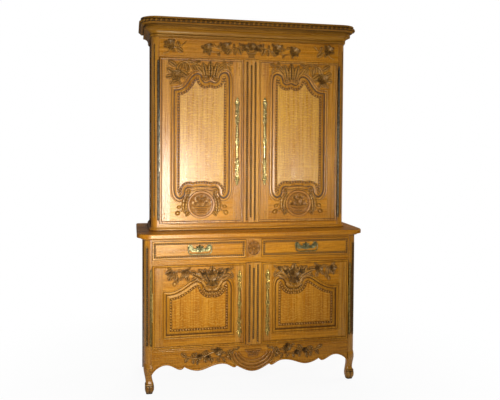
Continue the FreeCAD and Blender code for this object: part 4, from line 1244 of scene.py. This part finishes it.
level = boxOf("upper_frieze")[0][1]
carved = newShape()
addBothWays(carved, level, friezeCarving["half"])
addCarving(carved, frontFace(level), friezeCarving["middle"])
makePiece("frieze_carving", carved, oakCarved)


# Apron: a moulded lower edge, sprays, and a small basket over hanging swags in the middle.
# Each swag has half its width, its depth, a radius and a half angle.
apronCarving = {
    "half": {
        "stem": [
            ([(-450, 226), (-404, 212), (-352, 206), (-306, 220), (-270, 236), (-240, 244)], 5.0, 3.6),
            ([(-276, 236), (-284, 214), (-262, 202), (-222, 200), (-180, 204)], 4.2, 3.0),
            ([(-148, 226), (-142, 196), (-128, 168), (-108, 148)], 6.0, 4.5),
        ],
        "leaf": [
            (-424, 220, 150, 46, 29, -20, 5, 9), (-414, 216, 232, 41, 26, 16, 5),
            (-396, 212, 66, 34, 22, -20), (-386, 208, 272, 38, 24, 10), (-366, 210, 96, 33, 22),
            (-350, 206, 252, 43, 26, 20, 5, 9), (-330, 214, 62, 40, 24, -16),
            (-312, 218, -84, 45, 26, 16, 5, 9), (-296, 228, 106, 29, 22), (-262, 206, 254, 36, 22, 14),
            (-240, 202, 312, 34, 21), (-216, 204, 76, 31, 21, -24), (-196, 202, -70, 34, 21, 14),
            (-170, 212, 62, 40, 24, 20, 5), (-166, 202, -30, 31, 21), (-248, 254, 168, 29, 19),
            (-210, 238, -20, 34, 21, 10), (-96, 246, 172, 34, 22, 14), (-88, 252, 130, 21, 15, 0, 4, 7),
        ],
        "dome": [(-163, 206, 16, 12, 13, 10)],
        "rose": [(-228, 244, 25, 15), (-346, 216, 17, 12), (-288, 206, 15, 11)],
        "eye": [(-140, 234, 13)],
    },
    "basket": (0, 200, 98, 40, 7),
    "swagCentre": (0.0, 246.0),
    "swags": ((98.0, 76.0, 6.5, 76), (116.0, 98.0, 8.0, 78), (134.0, 121.0, 7.0, 80)),
    "swagRows": 40,
    "swagSkip": 3,
    "swagRise": 1.0,
    "swagBeads": {"spacing": 19.0, "length": 6.2, "width": 2.6, "closed": False, "turn": 60.0},
    "beadRise": 2.2,
    "beadStop": 4,
    "edgeInset": 7.0,
    "edgeRadius": 5.0,
    "edgeRise": 0.8,
    "edgeStep": 8.0,
    "edgeEnd": 6.0,
    "frontDepth": 0.2,
    "topGap": 1.0,
}


def lowerEdge(node):
    mesh = nodes[node].data
    points = np.empty(len(mesh.vertices) * 3)
    mesh.vertices.foreach_get("co", points)
    points = points.reshape(-1, 3) * 1000
    front = points[points[:, 1] < points[:, 1].min() + apronCarving["frontDepth"]]
    below = front[front[:, 2] < front[:, 2].max() - apronCarving["topGap"]][:, [0, 2]]
    below = np.unique(np.round(below, 1), axis=0)
    return below[below[:, 0].argsort()]


def swagLine(wide, deep, span):
    turn = np.radians(np.linspace(-90 - span, -90 + span, apronCarving["swagRows"]))
    return np.column_stack([wide * np.cos(turn), deep * np.sin(turn)]) + apronCarving["swagCentre"]


level = boxOf("base_apron")[0][1]
face = frontFace(level)
carved = newShape()
addBothWays(carved, level, apronCarving["half"])
makePiece("apron_carving", carved, oakCarved)
basket = newShape()
addBasket(basket, face, *apronCarving["basket"])
for wide, deep, radius, span in apronCarving["swags"]:
    swag = swagLine(wide, deep, span)[:: apronCarving["swagSkip"]]
    addStem(basket, face, swag, radius, radius, apronCarving["swagRise"])
    beaded = swagLine(wide, deep, span - apronCarving["beadStop"])
    beadHeight = radius + apronCarving["beadRise"]
    addBeads(basket, face, beaded, height=beadHeight, **apronCarving["swagBeads"])
makePiece("apron_basket", basket, oakRelief)
edge = lowerEdge("base_apron")
first, last = edge[0, 0] + apronCarving["edgeEnd"], edge[-1, 0] - apronCarving["edgeEnd"]
inside = edge[(edge[:, 0] > first) & (edge[:, 0] < last)] + (0.0, apronCarving["edgeInset"])
rolled = newShape()
radius = apronCarving["edgeRadius"]
addStem(rolled, face, inside, radius, radius, apronCarving["edgeRise"], step=apronCarving["edgeStep"])
makePiece("apron_edge", rolled, oakAcross)


# The block between the drawers: a four-petalled flower in a ring.
rosetteCarving = {
    "ring": (48, 45.0, 50.0),
    "profile": [
        (0.0, -0.8, 0.8), (0.8, 3.0, 0.2), (3.0, 4.4, 0.0), (5.6, 3.4, 0.2), (7.4, 0.6, 1.0), (9.0, 0.4, 0.9),
    ],
    "carving": {
        "plume": [(0, 0, angle, 42, 29, 0, 2, 7) for angle in (48, 132, 222, 306)],
        "leaf": [(0, 0, angle, 38 + 7 * (angle in (90, 270)), 12, 0, 2) for angle in (0, 90, 180, 270)],
        "dome": [(0, 0, 9, 9, 11)],
    },
}
face = faceOver("base_drawer_divider", "base_drawer_divider")
rosette = newShape()
addMoulding(rosette, face, ovalLoop(*rosetteCarving["ring"]), rosetteCarving["profile"])
addCarving(rosette, face, rosetteCarving["carving"])
makePiece("divider_rosette", rosette, oakRelief)
print("frieze, apron and rosette carved")


# Feet: a carved hoof under a thin collar.
# Each row is a level, the centre from the outer side and the front, half sizes and a value of stain and
# painted shade; the grooves take painted shade too.
footDress = {
    "hoof": [
        (64, 34.9, 24.2, 22.5, 23.5, 1.0), (63, 35.0, 23.6, 25.2, 26.2, 0.5),
        (60, 35.4, 22.2, 26.8, 27.6, 0.0), (57, 35.8, 21.0, 26.6, 27.4, 0.5),
        (55, 36.0, 20.2, 25.8, 26.8, 1.0), (50, 36.5, 18.4, 27.2, 28.0, 0.4),
        (40, 37.0, 17.2, 28.4, 29.0, 0.2), (26, 37.0, 18.0, 27.8, 28.4, 0.3),
        (13, 36.3, 22.6, 23.6, 24.6, 0.5), (5, 36.0, 25.0, 20.6, 21.6, 0.8),
        (0.6, 36.0, 25.0, 20.0, 21.0, 1.0),
    ],
    "setback": 10.0,
    "squareness": 0.52,
    "columns": 72,
    "grooves": 12,
    "grooveDepth": 0.02,
    "grooveSharpness": 6,
    "grooveTop": 54,
    "grooveStain": 0.8,
    "grooveEdge": 0.99,
}
hooves = newShape()
postLow, postHigh = boxOf("base_front_posts")
count = footDress["columns"]
ring = ovalLoop(count, 1, 1)
ring = np.sign(ring) * np.abs(ring) ** footDress["squareness"]
wave = np.cos(footDress["grooves"] * fullTurn(count))
groove = (0.5 + 0.5 * wave) ** footDress["grooveSharpness"]
groove = footDress["grooveDepth"] * groove
for side in (-1, 1):
    rows = []
    stains = []
    for z, inward, back, halfWide, halfDeep, stain in footDress["hoof"]:
        cut = 1 - groove * (z < footDress["grooveTop"])
        centre = (side * (postHigh[0] - inward), postLow[1] + footDress["setback"] + back)
        rows.append(raised(ring * (halfWide, halfDeep) * cut[:, None] + centre, z))
        stains.append(np.maximum(stain, footDress["grooveStain"] * (cut < footDress["grooveEdge"])))
    addLoft(hooves, world, np.stack(rows), np.stack(stains))
makePiece("foot_carving", hooves, oakCarved)


# Rails: run beads along the drawer rail, the apron's top, the frieze and the upper bottom rail.
# Each has a rise from the lower edge, or below the upper one, a radius and a reach.
railBeads = (
    ("base_drawer_rail", 10.0, 4.2, 641.0),
    ("base_drawer_rail", 25.0, 3.0, 641.0),
    ("base_apron", -7.0, 3.0, 641.0),
    ("base_apron", -17.0, 4.6, 641.0),
    ("upper_frieze", 9.0, 3.2, 595.0),
    ("upper_frieze", -9.0, 3.6, 595.0),
    ("upper_bottom_rail", -7.0, 3.0, 595.0),
)
railBeadRise = 0.75
railBeadStep = 60.0
lines = newShape()
for node, rise, radius, reach in railBeads:
    low, high = boxOf(node)
    height = rise + (low[2] if rise > 0 else high[2])
    line = [(-reach, height), (reach, height)]
    addStem(lines, frontFace(low[1]), line, radius, radius, railBeadRise, step=railBeadStep)
makePiece("rail_beads", lines, oakAcross)


# Lock plates: a spine, pairs of scrolls, a shield with the keyhole, and leaves at both ends.
# The plates of the base take a more golden copy of the brass, painted light for the reflections they lack.
# A leaf has a length, a width, a bend, lobes and a height.
lockPlate = {
    "metals": {"base_left": gilt, "base_right": gilt, "upper_left": brass, "upper_right": brass},
    "thickness": 1.6,
    "backColumns": 160,
    "backEnd": 30.0,
    "backHalf": 6.0,
    "backWave": 3.2,
    "spindle": 0.4,
    "spindleWide": 11.0,
    "spindleTaper": 0.72,
    "spindleRise": 0.75,
    "spindleLap": 6,
    "collars": (-7.0, 0.0, 7.0),
    "collarTaper": 0.3,
    "collar": (3.2, 8.5),
    "spine": 3.4,
    "spineTaper": 0.8,
    "spineRise": 1.1,
    "pitch": 40.0,
    "scroll": [(1.0, 0.0), (9.0, 6.0), (13.5, 16.0), (9.5, 25.0), (4.5, 21.0), (7.5, 16.0)],
    "scrollSize": (2.8, 1.9, 1.2),
    "scrollStep": 3.0,
    "scrollStretch": 1.25,
    "scrollShrink": 0.35,
    "leaf": (19, 9, 0, 2, 4),
    "leafSpot": (1.5, 0.62),
    "leafTurn": 42,
    "knop": (4.6, 4.6, 5.0),
    "knopRise": 4,
    "tip": 50.0,
    "tipLap": 8,
    "tipLeaf": (50.0, 22, 0, 4, 5),
    "tipSide": (24, 11, 0, 2, 4),
    "tipSpot": 2,
    "tipTurn": 38,
    "shield": (14.0, 28.0),
    "shieldColumns": 48,
    "shieldWaves": 6,
    "shieldWave": 0.07,
    "shieldProfile": [
        (0.0, -0.8, 0.6), (0.4, 1.8, 0.2), (1.6, 3.2, 0.0), (3.2, 2.6, 0.1), (4.2, 1.6, 0.8), (8.6, 2.6, 0.0),
        (10.6, 2.8, 0.0), (11.2, 2.2, 0.3), (11.4, -0.8, 1.0),
    ],
}


def addLockBack(plate, face, reach):
    end = reach - lockPlate["backEnd"]
    rise = np.linspace(-end, end, lockPlate["backColumns"])
    wave = np.cos(rise * 2 * np.pi / lockPlate["pitch"]) * (np.abs(rise) > reach * lockPlate["spindle"])
    half = lockPlate["backHalf"] + lockPlate["backWave"] * wave
    back = np.concatenate([np.column_stack([half, rise]), np.column_stack([-half, rise])[::-1]])
    addPlate(plate, face, back, lockPlate["thickness"])


def addShield(plate, face):
    count = lockPlate["shieldColumns"]
    wave = 1 + lockPlate["shieldWave"] * np.cos(lockPlate["shieldWaves"] * fullTurn(count))
    oval = ovalLoop(count, *lockPlate["shield"]) * wave[:, None]
    addMoulding(plate, face, oval, lockPlate["shieldProfile"])


# A scroll and a leaf on each hand, and a knop between them.
def addLockPair(plate, face, base, way, pitch, size):
    aside, along = lockPlate["leafSpot"]
    for hand in (1, -1):
        stretch = way * lockPlate["scrollStretch"]
        scroll = [(hand * u * size, base + v * stretch) for u, v in lockPlate["scroll"]]
        addStem(plate, face, scroll, *lockPlate["scrollSize"], step=lockPlate["scrollStep"])
        angle = way * (90 - hand * lockPlate["leafTurn"])
        addLeaf(plate, face, hand * aside, base + way * pitch * along, angle, *lockPlate["leaf"])
    addDome(plate, face, 0, base + way * lockPlate["knopRise"], *lockPlate["knop"])


# One half, from the shield up or down to the tip.
def addLockHalf(plate, face, reach, way):
    start = reach * lockPlate["spindle"]
    tip = reach - lockPlate["tip"]
    end = tip + lockPlate["tipLap"]
    wide, spine = lockPlate["spindleWide"], lockPlate["spine"]
    shaft = [(0, way * (lockPlate["shield"][1] - lockPlate["spindleLap"])), (0, way * start)]
    addStem(plate, face, shaft, wide, wide * lockPlate["spindleTaper"], lockPlate["spindleRise"])
    for step in lockPlate["collars"]:
        half = wide - abs(step) * lockPlate["collarTaper"]
        addDome(plate, face, 0, way * start + step, half, *lockPlate["collar"])
    line = [(0, way * start), (0, way * end)]
    addStem(plate, face, line, spine + lockPlate["spineTaper"], spine, lockPlate["spineRise"])
    count = int((end - start) / lockPlate["pitch"])
    pitch = (end - start) / count
    for place in range(count):
        size = 1 - lockPlate["scrollShrink"] * place / count
        addLockPair(plate, face, way * (start + place * pitch), way, pitch, size)
    addLeaf(plate, face, 0, way * tip, 90 * way, *lockPlate["tipLeaf"])
    for hand in (1, -1):
        angle = way * (90 - hand * lockPlate["tipTurn"])
        addLeaf(plate, face, hand * lockPlate["tipSpot"], way * tip, angle, *lockPlate["tipSide"])


for prefix, fitting in lockPlate["metals"].items():
    low, high = boxOf(prefix + "_lock_plate")
    face = faceOver(prefix + "_lock_plate", prefix + "_door_frame")
    reach = (high[2] - low[2]) / 2
    plate = newShape()
    addLockBack(plate, face, reach)
    for way in (1, -1):
        addLockHalf(plate, face, reach, way)
    addShield(plate, face)
    makePiece(prefix + "_lock_mount", plate, fitting, prefix + "_door", (prefix + "_lock_plate",))
print("lock plates made")


# Side panels: a moulding round each opening.
sideMoulding = {
    "profile": [
        (-9.0, -0.8, 0.7), (-8.2, 1.6, 0.1), (-5.0, 2.6, 0.0), (-2.0, 1.4, 0.2), (-0.6, 0.2, 0.6),
        (0.8, -3.0, 0.8), (4.0, -5.0, 0.5), (9.0, -6.4, 0.1), (11.0, -9.0, 0.9),
    ],
    "floors": (-2.0, -11.0),
    "leastGap": 200,
}


def railGaps(node):
    heights = [round(1000 * vertex.co.z, 1) for vertex in nodes[node].data.vertices]
    spans = []
    for z in sorted(set(heights)):
        if not spans or z - spans[-1][1] > sideMoulding["leastGap"]:
            spans.append([z, z])
        spans[-1][1] = z
    return [(lower[1], upper[0]) for lower, upper in zip(spans, spans[1:])]


for level in ("base", "upper"):
    railEdge = boxOf(level + "_side_rails")[1][0]
    nearY = boxOf(level + "_front_posts")[1][1]
    farY = boxOf(level + "_rear_posts")[0][1]
    shape = newShape()
    for side in (-1, 1):
        face = faceAt((side * railEdge, 0, 0), (0, side, 0), (side, 0, 0))
        left, right = sorted((side * nearY, side * farY))
        for bottom, top in railGaps(level + "_side_rails"):
            opening = rectangle((left, bottom), (right, top))
            addMoulding(shape, face, opening, sideMoulding["profile"], *sideMoulding["floors"])
    makePiece(level + "_side_moulding", shape, oakUpright)
print("sides dressed")


# CAD nodes keep their shapes and take the new materials.
nodeWoods = {
    oakUpright: (
        "base_front_posts", "base_rear_posts", "base_centre_post", "base_drawer_divider", "upper_front_posts",
        "upper_rear_posts", "upper_centre_post",
    ),
    oakDeep: ("base_side_rails", "upper_side_rails"),
    oakCornice: ("cornice",),
    insideUpright: ("base_back_boards", "upper_back_boards", "locating_dowels"),
    insideAcross: ("base_floor", "upper_floor", "upper_ceiling", "shelves"),
    insideDeep: ("shelf_cleats", "drawer_runners"),
}
partMaterials = {"lock_case": iron, "lock_bolt": iron, "pull": pullBrass, "lock_plate": brass}
drawerRear = 12.5
stileGap = 0.2


def setMaterials(node, materials):
    mesh = nodes[node].data
    mesh.materials.clear()
    for material in materials:
        mesh.materials.append(material)


def splitMaterials(node, materials, isSecond):
    setMaterials(node, materials)
    mesh = nodes[node].data
    mesh.polygons.foreach_set("material_index", [int(isSecond(poly.center * 1000)) for poly in mesh.polygons])


for name in nodes:
    low, high = boxOf(name)
    woods = [wood for wood, names in nodeWoods.items() if name in names]
    parts = [material for word, material in partMaterials.items() if word in name]
    if woods or parts:
        setMaterials(name, (woods + parts)[:1])
    elif name.endswith("_box"):
        splitMaterials(name, (insideDeep, insideAcross), lambda spot: spot.y > high[1] - drawerRear)
    elif "hinge" in name:
        splitMaterials(name, (hingeBrass, dullGilt), lambda spot: spot.z < tableHigh[2])
    elif "panel" in name:
        setMaterials(name, (oakPanel if name.startswith("upper") else oakDeepPanel,))
    elif "door_frame" in name:
        stile = doorLip["stile"] + stileGap
        inner = (low[0] + stile, high[0] - stile)
        splitMaterials(name, (oakAcross, oakUpright), lambda spot: not inner[0] < spot.x < inner[1])
    else:
        setMaterials(name, (oakAcross,))
print("nodes painted")


# Stage: a pale floor that keeps the shadow, and white beyond it.
stageLook = {
    "floor": (0.86, 0.86, 0.86, 1),
    "paleFloor": (0.9, 0.9, 0.9, 1),
    "mottle": ((3, 3, 3), 2),
    "roughness": 0.9,
    "shine": 0.1,
    "white": (1, 1, 1, 1),
    "reach": 12.0,
    "whiteSpan": (0.5, 2.2, 0.93, 1.0),
    "mirrored": 0.12,
    "ambient": 0.02,
}
scene = bpy.context.scene
floorMesh = bpy.data.meshes.new("studioFloor")
corners = rectangle((-stageLook["reach"],) * 2, (stageLook["reach"],) * 2).tolist()
floorMesh.from_pydata([(x, y, 0) for x, y in corners], [], [(0, 1, 2, 3)])
studioFloor = bpy.data.objects.new("studioFloor", floorMesh)
scene.collection.objects.link(studioFloor)
paper, tree, skin = newMaterial("paperFloor")
place = objectPlace(tree)
mottle = noise(tree, place, *stageLook["mottle"])
tone = blend(tree, mottle, stageLook["floor"], stageLook["paleFloor"])
tree.links.new(tone, skin.inputs["Base Color"])
skin.inputs["Roughness"].default_value = stageLook["roughness"]
skin.inputs["Specular IOR Level"].default_value = stageLook["shine"]
glow = addNode(tree, "ShaderNodeEmission", {"Color": stageLook["white"], "Strength": 1.0})
seen = addNode(tree, "ShaderNodeLightPath").outputs["Is Camera Ray"]
away = addNode(tree, "ShaderNodeVectorMath", {0: place}, operation="LENGTH").outputs["Value"]
white = times(tree, seen, remap(tree, away, *stageLook["whiteSpan"]))
mixed = addNode(tree, "ShaderNodeMixShader", {0: white, 1: skin.outputs[0], 2: glow.outputs[0]})
tree.links.new(mixed.outputs[0], tree.nodes["Material Output"].inputs["Surface"])
floorMesh.materials.append(paper)

scene.world = bpy.data.worlds.new("studioWorld")
scene.world.use_nodes = True
tree = scene.world.node_tree
background = tree.nodes["Background"]
rays = addNode(tree, "ShaderNodeLightPath").outputs
mirrored = times(tree, rays["Is Glossy Ray"], stageLook["mirrored"])
shown = compute(tree, "MAXIMUM", rays["Is Camera Ray"], mirrored)
tree.links.new(compute(tree, "MAXIMUM", shown, stageLook["ambient"]), background.inputs["Strength"])
background.inputs["Color"].default_value = stageLook["white"]

# Each lamp has a spot, an aim, a width and height, watts, a spread, and whether reflections show it.
lamps = {
    "key": ((-0.52, -1.72, 1.11), (-0.46, 0.0, 1.13), (0.42, 0.85), 19.5, 132.0, True),
    "fill": ((0.0, -2.3, 2.0), (0.0, 0.0, 1.85), (0.8, 0.8), 4.0, 80.0, False),
    "second": ((0.74, -2.1, 1.2), (0.5, 0.0, 1.6), (0.3, 0.4), 0.9, 75.0, True),
    "top": ((0.0, -1.6, 4.2), (0.0, 0.0, 1.0), (2.5, 1.2), 2.0, 180.0, False),
    "rear": ((0.5, 3.2, 2.6), (0.0, 0.2, 1.2), (2.0, 2.0), 42.0, 120.0, False),
    "rightSide": ((3.2, 0.5, 1.9), (0.6, 0.1, 1.1), (1.6, 1.6), 28.0, 120.0, False),
    "leftSide": ((-3.2, 0.9, 1.9), (-0.6, 0.1, 1.1), (1.6, 1.6), 4.0, 120.0, False),
}


def matrixFrom(right, up, back, spot):
    made = np.eye(4)
    made[:3] = np.column_stack([right, up, back, spot])
    return Matrix(made.tolist())


for name, (spot, aim, size, watts, spread, shines) in lamps.items():
    data = bpy.data.lights.new(name, "AREA")
    data.shape = "RECTANGLE"
    data.size, data.size_y = size
    data.energy = watts
    data.spread = math.radians(spread)
    lamp = bpy.data.objects.new(name, data)
    scene.collection.objects.link(lamp)
    back = np.subtract(spot, aim)
    back = back / np.linalg.norm(back)
    right = np.cross((0, 0, 1.0), back)
    right = right / np.linalg.norm(right)
    lamp.matrix_world = matrixFrom(right, np.cross(back, right), back, spot)
    lamp.visible_glossy = shines

cameraLook = {
    "spot": (-0.7642, -3.8603, 1.5423),
    "yaw": 0.2001,
    "pitch": -0.0306,
    "roll": 0.0061,
    "lens": 41.93,
    "sensor": 36.0,
    "shift": -0.0708,
}
yaw, pitch, roll = cameraLook["yaw"], cameraLook["pitch"], cameraLook["roll"]
right = np.array([math.cos(yaw), -math.sin(yaw), 0.0])
level = np.array([math.sin(yaw), math.cos(yaw), 0.0])
up = np.array([0.0, 0.0, 1.0])
ahead = level * math.cos(pitch) + up * math.sin(pitch)
upward = up * math.cos(pitch) - level * math.sin(pitch)
rolledRight = right * math.cos(roll) + upward * math.sin(roll)
rolledUp = upward * math.cos(roll) - right * math.sin(roll)
cameraData = bpy.data.cameras.new("camera")
cameraData.lens = cameraLook["lens"]
cameraData.sensor_width = cameraLook["sensor"]
cameraData.shift_y = cameraLook["shift"]
camera = bpy.data.objects.new("camera", cameraData)
scene.collection.objects.link(camera)
camera.matrix_world = matrixFrom(rolledRight, rolledUp, -ahead, cameraLook["spot"])
scene.camera = camera
scene.view_settings.view_transform = "Standard"
print("stage lit")
